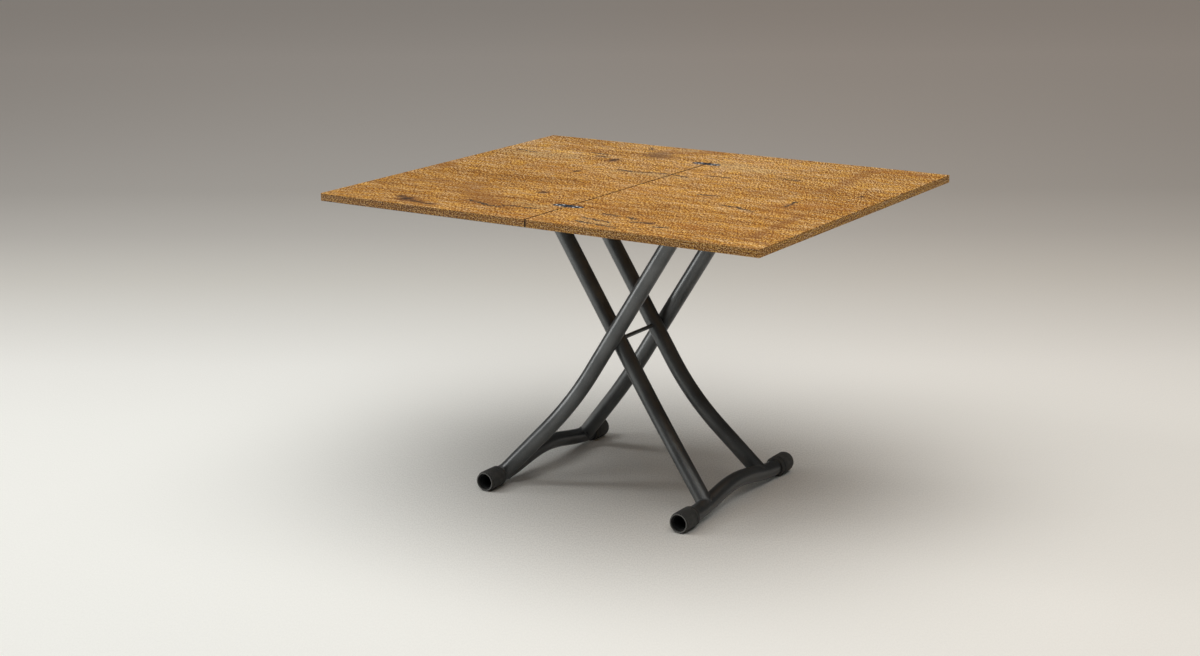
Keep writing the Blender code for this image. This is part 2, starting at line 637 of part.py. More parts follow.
top_loops = [
    ring(swivel_xy, TOP_PLATE_RADIUS, 48),
    ring(swivel_xy, SWIVEL_BOLT_RADIUS + GAP),
    ring(stop_xy, STOP_PIN_RADIUS + GAP),
]
top_plate = outline_mesh("swivel_top_plate", top_loops, TOP_PLATE)
piece("swivel_top_plate", top_plate, STEEL, fixed_top, at=(0, 0, TOP_PLATE_Z))
stop_low = BASE_PLATE_Z - 2 * GAP
stop_pin = rod_mesh("stop_pin", STOP_PIN_RADIUS, (*stop_xy, stop_low), (*stop_xy, BOARD_BOTTOM - GAP))
piece("stop_pin", stop_pin, STEEL, fixed_top)
shank_low = BASE_PLATE_Z - GAP - SWIVEL_NUT - 2 * GAP
head_low = BOARD_BOTTOM + GAP - shank_low
bolt_profile = [
    (0, head_low + SWIVEL_HEAD), (SWIVEL_HEAD_RADIUS, head_low + SWIVEL_HEAD), (SWIVEL_HEAD_RADIUS, head_low),
    (SWIVEL_BOLT_RADIUS, head_low), (SWIVEL_BOLT_RADIUS, 0), (0, 0),
]
turned("swivel_bolt", bolt_profile, STEEL, fixed_top, (SWIVEL_X, SWIVEL_Y, shank_low), UP)
nut_loops = [ring(swivel_xy, SWIVEL_NUT_RADIUS, 6), ring(swivel_xy, SWIVEL_BOLT_RADIUS + GAP)]
nut = outline_mesh("swivel_nut", nut_loops, SWIVEL_NUT)
piece("swivel_nut", nut, STEEL, fixed_top, at=(0, 0, BASE_PLATE_Z - GAP - SWIVEL_NUT))

# Glide pads at the corners of the subframe, which the leaves lie on
pad_low = CROSS_Z + CROSS_HEIGHT + GAP
pad_height = BOARD_BOTTOM - GAP - pad_low
for end_name, pad_x in (("left", LEFT_CROSS_X), ("right", RIGHT_CROSS_X)):
    for side_name, side in SIDES.items():
        profile = [(0, pad_height), (PAD_RADIUS - PAD_CHAMFER, pad_height)]
        profile += [(PAD_RADIUS, pad_height - PAD_CHAMFER), (PAD_RADIUS, 0), (0, 0)]
        pad_name = "glide_pad_" + end_name + "_" + side_name
        turned(pad_name, profile, NYLON, subframe, (pad_x, side * PAD_Y, pad_low), UP, 16)

# Lockable pulling gas spring: the cylinder hangs on the sliding tube, the rod is held by the release bracket
eye_bore = TUBE_R + RUN
eye_outer = eye_bore + EYE_WALL
eye_start = SLIDING_AXLE - ALONG_Y * EYE_WIDTH / 2
eye = washer("cylinder_eye", eye_outer, eye_bore, EYE_WIDTH, STEEL, carriage, eye_start, ALONG_Y)
neck_start = SLIDING_AXLE + ALONG_X * (eye_bore + EYE_WALL / 2)
neck_end = SLIDING_AXLE + ALONG_X * (eye_outer + EYE_NECK)
boolean(eye, cutter("cylinder_eye_neck", rod_mesh("eye_neck", EYE_NECK_RADIUS, neck_start, neck_end)), "UNION")
cylinder_start = neck_end + ALONG_X * GAP
rod_end_x = BRACKET_X - GAP
cylinder_length = rod_end_x - ROD_SHOWN - cylinder_start.x
cylinder_bore = CYLINDER_RADIUS - CYLINDER_WALL
gland_bore = ROD_RADIUS + GAP
cylinder_profile = [
    (0, CYLINDER_END), (cylinder_bore, CYLINDER_END), (cylinder_bore, cylinder_length - CYLINDER_GLAND),
    (gland_bore, cylinder_length - CYLINDER_GLAND), (gland_bore, cylinder_length),
    (cylinder_bore, cylinder_length), (CYLINDER_RADIUS, cylinder_length - CYLINDER_WALL),
    (CYLINDER_RADIUS, CYLINDER_WALL), (cylinder_bore, 0), (0, 0),
]
turned("gas_cylinder", cylinder_profile, GREASED, carriage, cylinder_start, ALONG_X)
piston_start = cylinder_start + ALONG_X * (CYLINDER_END + PISTON_PLAY)
rod_length = rod_end_x - piston_start.x
pin_bore = RELEASE_PIN_RADIUS + GAP
bore_bottom = rod_length - RELEASE_PIN_IN_ROD - RELEASE_PIN_PLAY
rod_profile = [
    (0, bore_bottom), (pin_bore, bore_bottom), (pin_bore, rod_length), (ROD_RADIUS, rod_length),
    (ROD_RADIUS, PISTON), (cylinder_bore - GAP, PISTON), (cylinder_bore - GAP, 0), (0, 0),
]
turned("gas_rod", rod_profile, CHROME, subframe, piston_start, ALONG_X)

# Release: a bracket under the end cross member, the pin that unlocks the spring, and a sprung lever with a grip
bracket_top = RAIL_TOP
bracket_low = (BRACKET_X, -BRACKET_WIDTH / 2, bracket_top - BRACKET_HEIGHT)
bracket_high = (BRACKET_X + BRACKET_LENGTH, BRACKET_WIDTH / 2, bracket_top)
bracket = piece("release_bracket", box_mesh("release_bracket", bracket_low, bracket_high), COAT, subframe)
hollow_y = BRACKET_WIDTH / 2 - BRACKET_CHEEK
hollow_low = (BRACKET_X + BRACKET_WALL, -hollow_y, bracket_low[2] - BRACKET_WALL)
hollow_high = (bracket_high[0] + BRACKET_WALL, hollow_y, bracket_top - BRACKET_WALL)
boolean(bracket, cutter("bracket_hollow", box_mesh("bracket_hollow", hollow_low, hollow_high)))
pin_start = Vector((rod_end_x - RELEASE_PIN_IN_ROD, 0, AXLE_Z))
pin_end = Vector((BRACKET_X + BRACKET_WALL + RELEASE_PIN_OUT, 0, AXLE_Z))
boolean(bracket, cutter("bracket_pin_hole", rod_mesh("bracket_pin_hole", pin_bore, pin_start, pin_end)))
cheek = ALONG_Y * BRACKET_WIDTH / 2
lever_bore = LEVER_PIN_RADIUS + GAP
lever_hole = rod_mesh("lever_hole", lever_bore, LEVER_AXIS - 2 * cheek, LEVER_AXIS + 2 * cheek)
boolean(bracket, cutter("bracket_lever_hole", lever_hole))
piece("release_pin", rod_mesh("release_pin", RELEASE_PIN_RADIUS, pin_start, pin_end, 12), STEEL, release)
lever_pin = rod_mesh("lever_pin", LEVER_PIN_RADIUS, LEVER_AXIS - cheek, LEVER_AXIS + cheek, 12)
piece("lever_pin", lever_pin, STEEL, subframe)
nose_x = pin_end.x + GAP
nose_low = AXLE_Z - RELEASE_PIN_RADIUS - GAP
nose_high = AXLE_Z + RELEASE_PIN_RADIUS + GAP
lever_xz = (LEVER_AXIS.x, LEVER_AXIS.z)
hub_end = LEVER_AXIS.x + LEVER_HUB
bar_low = LEVER_AXIS.z
bar_high = LEVER_AXIS.z + LEVER_BAR
lever_end = LEVER_AXIS.x + LEVER_LENGTH
lever_outline = [
    (nose_x, nose_high), (nose_x, nose_low), *arc(lever_xz, LEVER_HUB, 180, 270, 5), (hub_end, bar_low),
    (lever_end, bar_low), (lever_end, bar_high), (hub_end, bar_high), (LEVER_AXIS.x + LEVER_NOSE, nose_high),
]
lever_mesh = outline_mesh("release_lever", [lever_outline, ring(lever_xz, lever_bore, 12)], LEVER_THICKNESS)
piece("release_lever", lever_mesh, COAT, lever, DRAWN_XZ, (0, LEVER_THICKNESS / 2, 0))
grip_end = lever_end + GRIP_PAST_LEVER
grip_z = LEVER_AXIS.z + LEVER_BAR / 2
grip_low = (grip_end - GRIP_LENGTH, -GRIP_WIDTH / 2, grip_z - GRIP_HEIGHT / 2)
grip_high = (grip_end, GRIP_WIDTH / 2, grip_z + GRIP_HEIGHT / 2)
grip = piece("lever_grip", box_mesh("lever_grip", grip_low, grip_high), NYLON, lever)
rounding = grip.modifiers.new("rounding", "BEVEL")
rounding.width = GRIP_ROUND
rounding.segments = 2
slot_low = (grip_low[0] - GRIP_ROUND, -LEVER_THICKNESS / 2 - GAP, bar_low - GAP)
slot_high = (lever_end + GAP, LEVER_THICKNESS / 2 + GAP, bar_high + GAP)
boolean(grip, cutter("grip_slot", box_mesh("grip_slot", slot_low, slot_high)))


# Flush hinges: each plate is half a capsule with a boss for its pin, and a link with two pins joins the pair
def half_capsule(x_sign, swell, seam_edge):
    """The plate's outline from its seam edge to its round tip."""
    radius = HINGE_WIDTH / 2
    tip = arc((HINGE_LENGTH / 2 - radius, 0), radius + swell, -90, 90, 12)
    loop = [(seam_edge, -radius - swell), *tip, (seam_edge, radius + swell)]
    return [(x_sign * x, y) for x, y in loop]


def seam_diamond(name, x_sign, y_low, y_high):
    """A square bar on its corner, which takes the chamfer off a top edge at the seam."""
    centre = (x_sign * (SEAM / 2 - SEAM_CHAMFER), SEAM_CHAMFER)
    diamond = arc(centre, 3 * SEAM_CHAMFER, 0, 270, 3)
    return cutter(name, outline_mesh(name, [diamond], y_high - y_low), DRAWN_XZ, (0, y_high, TOP_HEIGHT))


def seam_box(name, x_sign, x_from, x_to, y_low, y_high, z_low, z_high):
    """A box on one side of the seam."""
    x_low, x_high = sorted((x_sign * x_from, x_sign * x_to))
    return box_mesh(name, (x_low, y_low, z_low), (x_high, y_high, z_high))


def hinge_plate(name, x_sign, y, body):
    block = outline_mesh(name, [half_capsule(x_sign, 0, SEAM / 2)], BOSS_DEPTH)
    plate = piece(name, block, GRAPHITE, body, at=(0, y, TOP_HEIGHT - BOSS_DEPTH))
    round_boss = [
        (-SEAM, -HINGE_WIDTH), (HINGE_LENGTH, -HINGE_WIDTH), (HINGE_LENGTH, HINGE_WIDTH), (-SEAM, HINGE_WIDTH),
        (-SEAM, BOSS_HALF_WIDTH), (BOSS_END, BOSS_HALF_WIDTH), (BOSS_END, -BOSS_HALF_WIDTH),
        (-SEAM, -BOSS_HALF_WIDTH),
    ]
    under = outline_mesh(name, [[(x_sign * a, b) for a, b in round_boss]], BOSS_DEPTH)
    boolean(plate, cutter(name + "_under", under, at=(0, y, TOP_HEIGHT - HINGE_PLATE - BOSS_DEPTH)))
    half_slot = HINGE_LINK_WIDTH / 2 + RUN
    slot_end_x = HINGE_PIN_X + HINGE_LINK_RADIUS + RUN
    slot_low = TOP_HEIGHT - 2 * BOSS_DEPTH
    slot = seam_box(name, x_sign, -SEAM, slot_end_x, y - half_slot, y + half_slot, slot_low, TOP_HEIGHT + BOARD)
    boolean(plate, cutter(name + "_slot", slot))
    pin = Vector((x_sign * HINGE_PIN_X, y, TOP_HEIGHT - HINGE_PIN_DEPTH))
    reach = ALONG_Y * (HINGE_PIN_REACH + RUN)
    pin_hole = rod_mesh(name, HINGE_PIN_RADIUS + GAP, pin - reach, pin + reach, 12)
    boolean(plate, cutter(name + "_pin_hole", pin_hole))
    boolean(plate, seam_diamond(name + "_chamfer", x_sign, y - HINGE_WIDTH, y + HINGE_WIDTH))


def hinge_link(name, y):
    ends = [(-HINGE_PIN_X, -HINGE_PIN_DEPTH), (HINGE_PIN_X, -HINGE_PIN_DEPTH)]
    loop = arc(ends[1], HINGE_LINK_RADIUS, -90, 90, 8) + arc(ends[0], HINGE_LINK_RADIUS, 90, 270, 8)
    mesh = outline_mesh(name, [loop], HINGE_LINK_WIDTH)
    link = piece(name, mesh, GRAPHITE, links, DRAWN_XZ, (0, y + HINGE_LINK_WIDTH / 2, TOP_HEIGHT))
    reach = ALONG_Y * HINGE_PIN_REACH
    for number, (x, z) in enumerate(ends):
        pin = Vector((x, y, TOP_HEIGHT + z))
        stub = rod_mesh(name, HINGE_PIN_RADIUS, pin - reach, pin + reach, 12)
        boolean(link, cutter(name + "_pin_" + str(number), stub), "UNION")


# Leaves: boards with a chamfered seam edge and mortises for the hinges
def leaf(name, x_sign, body):
    edge = sorted((x_sign * SEAM / 2, x_sign * TOP_LENGTH / 2))
    low = (edge[0], BASE_FORWARD - TOP_DEPTH / 2, BOARD_BOTTOM)
    high = (edge[1], BASE_FORWARD + TOP_DEPTH / 2, TOP_HEIGHT)
    board = piece(name, box_mesh(name, low, high), OAK, body)
    rounding = board.modifiers.new("edges", "BEVEL")
    rounding.width = EDGE_CHAMFER
    rounding.segments = 1
    boolean(board, seam_diamond(name + "_chamfer", x_sign, -TOP_DEPTH, TOP_DEPTH))
    for side_name, side in SIDES.items():
        y = BASE_FORWARD + side * HINGE_Y
        mortise = outline_mesh(name, [half_capsule(x_sign, GAP, -SEAM)], HINGE_PLATE + GAP + BOARD)
        seat = (0, y, TOP_HEIGHT - HINGE_PLATE - GAP)
        boolean(board, cutter(name + "_mortise_" + side_name, mortise, at=seat))
        pocket = seam_box(
            name, x_sign, -SEAM, BOSS_END + GAP, y - BOSS_HALF_WIDTH - GAP, y + BOSS_HALF_WIDTH + GAP,
            TOP_HEIGHT - BOSS_DEPTH - GAP, TOP_HEIGHT + BOARD,
        )
        boolean(board, cutter(name + "_pocket_" + side_name, pocket))
    return board


fixed_board = leaf("fixed_leaf", -1, fixed_top)
head_top = SWIVEL + UP * (SWIVEL_HEAD + 2 * GAP)
head_room = rod_mesh("bolt_head_room", SWIVEL_HEAD_RADIUS + GAP, SWIVEL - UP * BOARD / 2, head_top, 20)
boolean(fixed_board, cutter("bolt_head_room", head_room))
leaf("folding_leaf", 1, folding_top)
for side_name, side in SIDES.items():
    hinge_y = BASE_FORWARD + side * HINGE_Y
    hinge_plate("hinge_plate_fixed_" + side_name, -1, hinge_y, fixed_top)
    hinge_plate("hinge_plate_folding_" + side_name, 1, hinge_y, folding_top)
    hinge_link("hinge_link_" + side_name, hinge_y)

# The origin lies under the middle of the open top, so the base moves forward from it with all it carries
for placed in [outer_feet, *cutters.objects]:
    placed.location.y -= BASE_FORWARD
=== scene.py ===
import math

import bmesh
import bpy
from mathutils import Matrix, Vector


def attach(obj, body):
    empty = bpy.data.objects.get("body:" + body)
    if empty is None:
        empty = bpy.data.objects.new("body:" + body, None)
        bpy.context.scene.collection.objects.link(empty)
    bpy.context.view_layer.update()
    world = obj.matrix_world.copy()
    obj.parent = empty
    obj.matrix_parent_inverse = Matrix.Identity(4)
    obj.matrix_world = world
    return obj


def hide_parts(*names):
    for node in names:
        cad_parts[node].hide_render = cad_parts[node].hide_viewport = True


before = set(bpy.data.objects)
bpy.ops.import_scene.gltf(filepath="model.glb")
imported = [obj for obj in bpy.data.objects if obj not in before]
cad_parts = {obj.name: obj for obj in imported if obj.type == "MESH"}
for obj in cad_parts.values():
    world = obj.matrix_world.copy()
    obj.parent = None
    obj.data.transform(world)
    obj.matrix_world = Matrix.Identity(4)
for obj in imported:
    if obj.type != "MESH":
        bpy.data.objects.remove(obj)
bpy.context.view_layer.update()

# Outer frame: a humped foot bar and two long bent legs, all of 40 mm steel tube with a 2 mm wall.
# Each leg is cut to a saddle where it meets the bar below and the knuckle above, and welded on.
# The finished frame is powder coated in satin anthracite, which leaves a faint orange peel.
TUBE_RADIUS = 0.020
TUBE_WALL = 0.002
TUBE_SIDES = 48
BASE_Y = -0.019
FOOT_X = 0.280
FOOT_Z = 0.025
BAR_HALF_LENGTH = 0.265
BAR_HUMP = 0.025
BAR_HUMP_HALF_LENGTH = 0.205
BAR_STEPS = 96
AXLE_X = 0.190
AXLE_Z = 0.690
CROSSING_Z = 0.390
BEND_Z = 0.220
BEND_RADIUS = 0.77
BEND_STEPS = 28
OUTER_LEG_Y = 0.130
OUTER_LANDING_Y = 0.188
KNUCKLE_HALF_LENGTH = 0.024
KNUCKLE_WALL = 0.0135
BEAD = 0.0022
BEAD_RIPPLES = 40
BEAD_POINTS_PER_RIPPLE = 6
BEAD_SWELL = 0.2
BEAD_SIDES = 10
COPE_REACH = 0.08
COPE_HALVINGS = 30
ON_RING = 1e-5
SHARP_ANGLE = math.radians(40)
SIDES = {"front": -1, "back": 1}


class Link:
    """One output of a node. Sums with it add Math nodes to its tree, so that 1 - mask works."""

    def __init__(self, nodes, socket):
        self.nodes = nodes
        self.socket = socket

    def sum(self, operation, first, second):
        return self.nodes.add("ShaderNodeMath", {"operation": operation}, {0: first, 1: second})

    def __add__(self, other):
        return self.sum("ADD", self, other)

    def __radd__(self, other):
        return self.sum("ADD", other, self)

    def __sub__(self, other):
        return self.sum("SUBTRACT", self, other)

    def __rsub__(self, other):
        return self.sum("SUBTRACT", other, self)

    def __mul__(self, other):
        return self.sum("MULTIPLY", self, other)

    def __rmul__(self, other):
        return self.sum("MULTIPLY", other, self)

    def least(self, other):
        return self.sum("MINIMUM", self, other)

    def size(self):
        return self.nodes.add("ShaderNodeMath", {"operation": "ABSOLUTE"}, {0: self})


class Nodes:
    """A node tree under way. The short methods make the nodes that come up most."""

    def add(self, kind, settings=None, sockets=None, out=0):
        """Makes a node from its type, settings and sockets' values or links, and gives one output."""
        node = self.tree.nodes.new(kind)
        for name, value in (settings or {}).items():
            if name == "stops":
                self.set_stops(node.color_ramp, value)
            else:
                setattr(node, name, value)
        self.feed(node, sockets or {})
        return Link(self, node.outputs[out])

    def feed(self, node, sockets):
        for name, value in sockets.items():
            if isinstance(value, Link):
                self.tree.links.new(value.socket, node.inputs[name])
            else:
                node.inputs[name].default_value = value

    def set_stops(self, ramp, stops):
        ramp.elements[0].position, ramp.elements[0].color = stops[0]
        ramp.elements[1].position, ramp.elements[1].color = stops[-1]
        for place, colour in stops[1:-1]:
            ramp.elements.new(place).color = colour

    def part(self, place, axis):
        return self.add("ShaderNodeSeparateXYZ", None, {"Vector": place}, out=axis)

    def step(self, value, low, high, start=0.0, end=1.0):
        """Goes smoothly from start to end while the value goes from low to high."""
        sockets = {"Value": value, "From Min": low, "From Max": high, "To Min": start, "To Max": end}
        return self.add("ShaderNodeMapRange", {"interpolation_type": "SMOOTHSTEP"}, sockets)


class Finish(Nodes):
    """A material of nodes around one surface shader."""

    def __init__(self, name, constants):
        self.material = bpy.data.materials.new(name)
        self.material.use_nodes = True
        self.tree = self.material.node_tree
        self.shader = self.tree.nodes["Principled BSDF"]
        self.feed(self.shader, constants)

    def place(self):
        return self.add("ShaderNodeTexCoord", out="Object")

    def vector(self, operation, first, second):
        return self.add("ShaderNodeVectorMath", {"operation": operation}, {0: first, 1: second})

    def measure(self, operation, *vectors):
        """A length, a distance or a product of vectors, as one number."""
        sockets = dict(enumerate(vectors))
        return self.add("ShaderNodeVectorMath", {"operation": operation}, sockets, out="Value")

    def stretch(self, place, scales):
        return self.vector("MULTIPLY", place, scales)

    def noise(self, place, scale, detail=2.0, roughness=0.5):
        sockets = {"Vector": place, "Scale": scale, "Detail": detail, "Roughness": roughness}
        return self.add("ShaderNodeTexNoise", None, sockets)

    def blend(self, amount, first, second):
        return self.add("ShaderNodeMix", {"data_type": "RGBA"}, {0: amount, 6: first, 7: second}, out=2)

    def ramp(self, value, stops):
        return self.add("ShaderNodeValToRGB", {"stops": stops}, {0: value})

    def bump(self, height, strength, distance):
        sockets = {"Strength": strength, "Distance": distance, "Height": height}
        return self.add("ShaderNodeBump", None, sockets)


class Rule(Nodes):
    """A Geometry Nodes tree with named inputs, which turns a source mesh into a piece's plain mesh."""

    def __init__(self, name, inputs):
        self.tree = bpy.data.node_groups.new(name, "GeometryNodeTree")
        face = self.tree.interface
        face.new_socket("Source", in_out="INPUT", socket_type="NodeSocketGeometry")
        self.names = {}
        for title, kind in {**inputs, "Finish": "Material"}.items():
            made = face.new_socket(title, in_out="INPUT", socket_type="NodeSocket" + kind)
            self.names[title] = made.identifier
        face.new_socket("Shape", in_out="OUTPUT", socket_type="NodeSocketGeometry")
        self.start = self.tree.nodes.new("NodeGroupInput")

    def given(self, title):
        return Link(self, self.start.outputs[title])

    def close(self, shape):
        real = self.add("GeometryNodeRealizeInstances", None, {"Geometry": shape})
        sockets = {"Geometry": real, "Material": self.given("Finish")}
        done = self.add("GeometryNodeSetMaterial", None, sockets)
        self.feed(self.tree.nodes.new("NodeGroupOutput"), {"Shape": done})

    def make(self, name, source, values):
        made = new_object(name, source)
        modifier = made.modifiers.new("rule", "NODES")
        modifier.node_group = self.tree
        for title, value in values.items():
            modifier[self.names[title]] = value
        settle(made)
        made.data.materials.clear()
        made.data.materials.append(values["Finish"])
        return made


def new_object(name, data):
    made = bpy.data.objects.new(name, data)
    bpy.context.scene.collection.objects.link(made)
    return made


def settle(made):
    """Turns what a piece's modifiers show into its plain mesh."""
    now = bpy.context.evaluated_depsgraph_get()
    shown = made.evaluated_get(now)
    mesh = bpy.data.meshes.new_from_object(shown, preserve_all_data_layers=True, depsgraph=now)
    made.modifiers.clear()
    made.data = mesh
    return made


def seen(red, green, blue):
    """A colour as a screen shows it, from 0 to 255, as the shader's linear values."""
    shares = [value / 255 for value in (red, green, blue)]
    return (*[s / 12.92 if s < 0.04045 else ((s + 0.055) / 1.055) ** 2.4 for s in shares], 1.0)


def coat_finish():
    finish = Finish("anthracite_powder_coat", {"Metallic": 0.75})
    place = finish.place()
    cloud = finish.noise(place, scale=11.0, detail=3.0)
    grain = finish.noise(place, scale=420.0, detail=2.0, roughness=0.6)
    peel = finish.noise(place, scale=950.0, detail=1.0)
    colour = finish.blend(finish.step(cloud, 0.35, 0.65), seen(90, 92, 93), seen(103, 105, 106))
    colour = finish.blend(finish.step(grain, 0.58, 0.72, 0.0, 0.35), colour, seen(142, 145, 147))
    height = peel + 0.6 * grain
    finish.feed(finish.shader, {
        "Base Color": colour,
        "Roughness": 0.28 + 0.12 * cloud + 0.08 * grain,
        "Normal": finish.bump(height, strength=0.08, distance=0.0005),
    })
    return finish.material


def tube_rule():
    rule = Rule("tube_along_path", {"Radius": "Float", "Sides": "Int", "Closed ends": "Bool"})
    path = rule.add("GeometryNodeMeshToCurve", None, {"Mesh": rule.given("Source")})
    sockets = {"Resolution": rule.given("Sides"), "Radius": rule.given("Radius")}
    ring = rule.add("GeometryNodeCurvePrimitiveCircle", {"mode": "RADIUS"}, sockets)
    sockets = {"Curve": path, "Profile Curve": ring, "Fill Caps": rule.given("Closed ends")}
    swept = rule.add("GeometryNodeCurveToMesh", None, sockets)
    rule.close(rule.add("GeometryNodeSetShadeSmooth", None, {"Geometry": swept}))
    return rule


def bead_rule():
    """A weld bead: a thin round along a closed path, swelling and shrinking once for each drop of metal."""
    rule = Rule("weld_bead", {"Thickness": "Float", "Ripples": "Int"})
    path = rule.add("GeometryNodeMeshToCurve", None, {"Mesh": rule.given("Source")})
    count = rule.given("Ripples") * BEAD_POINTS_PER_RIPPLE
    even = rule.add("GeometryNodeResampleCurve", {"mode": "COUNT"}, {"Curve": path, "Count": count})
    turn = rule.add("GeometryNodeInputIndex") * (math.tau / BEAD_POINTS_PER_RIPPLE)
    swell = 1 + BEAD_SWELL * rule.add("ShaderNodeMath", {"operation": "SINE"}, {0: turn})
    rippled = rule.add("GeometryNodeSetCurveRadius", None, {"Curve": even, "Radius": swell})
    sockets = {"Resolution": BEAD_SIDES, "Radius": rule.given("Thickness")}
    ring = rule.add("GeometryNodeCurvePrimitiveCircle", {"mode": "RADIUS"}, sockets)
    swept = rule.add("GeometryNodeCurveToMesh", None, {"Curve": rippled, "Profile Curve": ring})
    rule.close(rule.add("GeometryNodeSetShadeSmooth", None, {"Geometry": swept}))
    return rule


def path_mesh(points, closed=False):
    mesh = bpy.data.meshes.new("path")
    edges = [(i, i + 1) for i in range(len(points) - 1)]
    if closed:
        edges.append((len(points) - 1, 0))
    mesh.from_pydata([tuple(p) for p in points], edges, [])
    return mesh


def hump(y):
    """How far a foot bar rises over its straight ends."""
    if abs(y) >= BAR_HUMP_HALF_LENGTH:
        return 0.0
    return BAR_HUMP * math.cos(math.pi * y / (2 * BAR_HUMP_HALF_LENGTH)) ** 2


def outside_bar(bar_x, point):
    """How far a point lies outside a foot bar's tube."""
    bit = 0.001
    slope = (hump(point.y + bit) - hump(point.y - bit)) / (2 * bit)
    rise = (point.z - FOOT_Z - hump(point.y)) / math.hypot(1, slope)
    return math.hypot(point.x - bar_x, rise) - TUBE_RADIUS


def outside_axle(axle_x, point):
    """How far a point lies outside the tube round a top axle."""
    return math.hypot(point.x - axle_x, point.z - AXLE_Z) - TUBE_RADIUS


def leg_path(top_x, leg_y, landing_y, side):
    """A leg's centre line: straight from the top axle past the crossing, then a long bend out to the bar."""
    top = Vector((top_x, side * leg_y, AXLE_Z))
    crossing = Vector((0, side * leg_y, CROSSING_Z))
    upper = (crossing - top).normalized()
    corner = crossing + upper * ((CROSSING_Z - BEND_Z) / -upper.z)
    foot = Vector((math.copysign(FOOT_X, -top_x), side * landing_y, FOOT_Z + hump(landing_y)))
    lower = (foot - corner).normalized()
    bend = upper.angle(lower)
    inward = (lower - upper * upper.dot(lower)).normalized()
    start = corner - upper * BEND_RADIUS * math.tan(bend / 2)
    centre = start + inward * BEND_RADIUS
    angles = [bend * i / BEND_STEPS for i in range(BEND_STEPS + 1)]
    curve = [centre + BEND_RADIUS * (upper * math.sin(a) - inward * math.cos(a)) for a in angles]
    return [top, *curve, foot]


def cope(mesh, end, outward, outside):
    """Draws a tube's end ring back along the tube until it lies on the tube that it meets."""
    ring = [v for v in mesh.vertices if abs((v.co - end).dot(outward)) < ON_RING]
    for vertex in ring:
        back, forward = -COPE_REACH, 0.0
        for _ in range(COPE_HALVINGS):
            middle = (back + forward) / 2
            if outside(vertex.co + outward * middle) > 0:
                back = middle
            else:
                forward = middle
        vertex.co = vertex.co + outward * forward
    across = outward.orthogonal().normalized()
    other = outward.cross(across)
    spots = [v.co - end for v in ring]
    spots.sort(key=lambda spot: math.atan2(spot.dot(other), spot.dot(across)))
    return [end + spot for spot in spots]


def wall(made, thickness):
    solid = made.modifiers.new("wall", "SOLIDIFY")
    solid.thickness = thickness
    solid.offset = -1
    settle(made)
    made.data.set_sharp_from_angle(angle=SHARP_ANGLE)
    return made


def stand(made):
    """Moves a piece made about the base's middle to where the base stands, in front of the top's middle."""
    made.data.transform(Matrix.Translation((0, BASE_Y, 0)))
    return made


def fit(made, body, slot, *nodes):
    """Puts a finished piece on its body, and hides the solids that it stands for. The slot is not used."""
    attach(made, body)
    if nodes:
        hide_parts(*nodes)


def tube(name, points, radius=TUBE_RADIUS, sides=TUBE_SIDES, closed_ends=False):
    values = {"Radius": radius, "Sides": sides, "Closed ends": closed_ends, "Finish": COAT}
    return TUBE.make(name, path_mesh(points), values)


def foot_bar(name, bar_x, body):
    spots = [BAR_HALF_LENGTH * (2 * i / BAR_STEPS - 1) for i in range(BAR_STEPS + 1)]
    bar = tube(name + "_tube", [Vector((bar_x, y, FOOT_Z + hump(y))) for y in spots])
    fit(stand(wall(bar, TUBE_WALL)), body, "anthracite_powder_coat", name)


def leg(name, top_x, leg_y, landing_y, side, body):
    path = leg_path(top_x, leg_y, landing_y, side)
    made = tube(name + "_tube", path)
    down = (path[-1] - path[-2]).normalized()
    up = (path[0] - path[1]).normalized()
    seams = [
        cope(made.data, path[-1], down, lambda point: outside_bar(path[-1].x, point)),
        cope(made.data, path[0], up, lambda point: outside_axle(top_x, point)),
    ]
    fit(stand(wall(made, TUBE_WALL)), body, "anthracite_powder_coat", name)
    for place, seam in zip(("foot", "top"), seams):
        values = {"Thickness": BEAD, "Ripples": BEAD_RIPPLES, "Finish": COAT}
        bead = BEADS.make(name + "_weld_" + place, path_mesh(seam, closed=True), values)
        fit(stand(bead), body, "anthracite_powder_coat")


COAT = coat_finish()
TUBE = tube_rule()
BEADS = bead_rule()

foot_bar("outer_foot_bar", -FOOT_X, "outer_frame")
for side_name, side in SIDES.items():
    leg("outer_leg_" + side_name, AXLE_X, OUTER_LEG_Y, OUTER_LANDING_Y, side, "outer_frame")
    ends = [side * OUTER_LEG_Y - KNUCKLE_HALF_LENGTH, side * OUTER_LEG_Y + KNUCKLE_HALF_LENGTH]
    knuckle = tube("outer_knuckle_" + side_name + "_tube", [Vector((AXLE_X, y, AXLE_Z)) for y in ends])
    stand(wall(knuckle, KNUCKLE_WALL))
    fit(knuckle, "outer_frame", "anthracite_powder_coat", "outer_knuckle_" + side_name)

# Inner frame: the same foot bar and a narrower pair of legs, joined at the top by a cross tube.
# It stands between the outer legs, and is coped, welded and coated in the same way.
INNER_LEG_Y = 0.086
INNER_LANDING_Y = 0.1395
TOP_TUBE_HALF_LENGTH = 0.161

foot_bar("inner_foot_bar", FOOT_X, "inner_frame")
for side_name, side in SIDES.items():
    leg("inner_leg_" + side_name, -AXLE_X, INNER_LEG_Y, INNER_LANDING_Y, side, "inner_frame")
ends = [-TOP_TUBE_HALF_LENGTH, TOP_TUBE_HALF_LENGTH]
top_tube = tube("inner_top_tube_coated", [Vector((-AXLE_X, y, AXLE_Z)) for y in ends])
fit(stand(wall(top_tube, TUBE_WALL)), "inner_frame", "anthracite_powder_coat", "inner_top_tube")

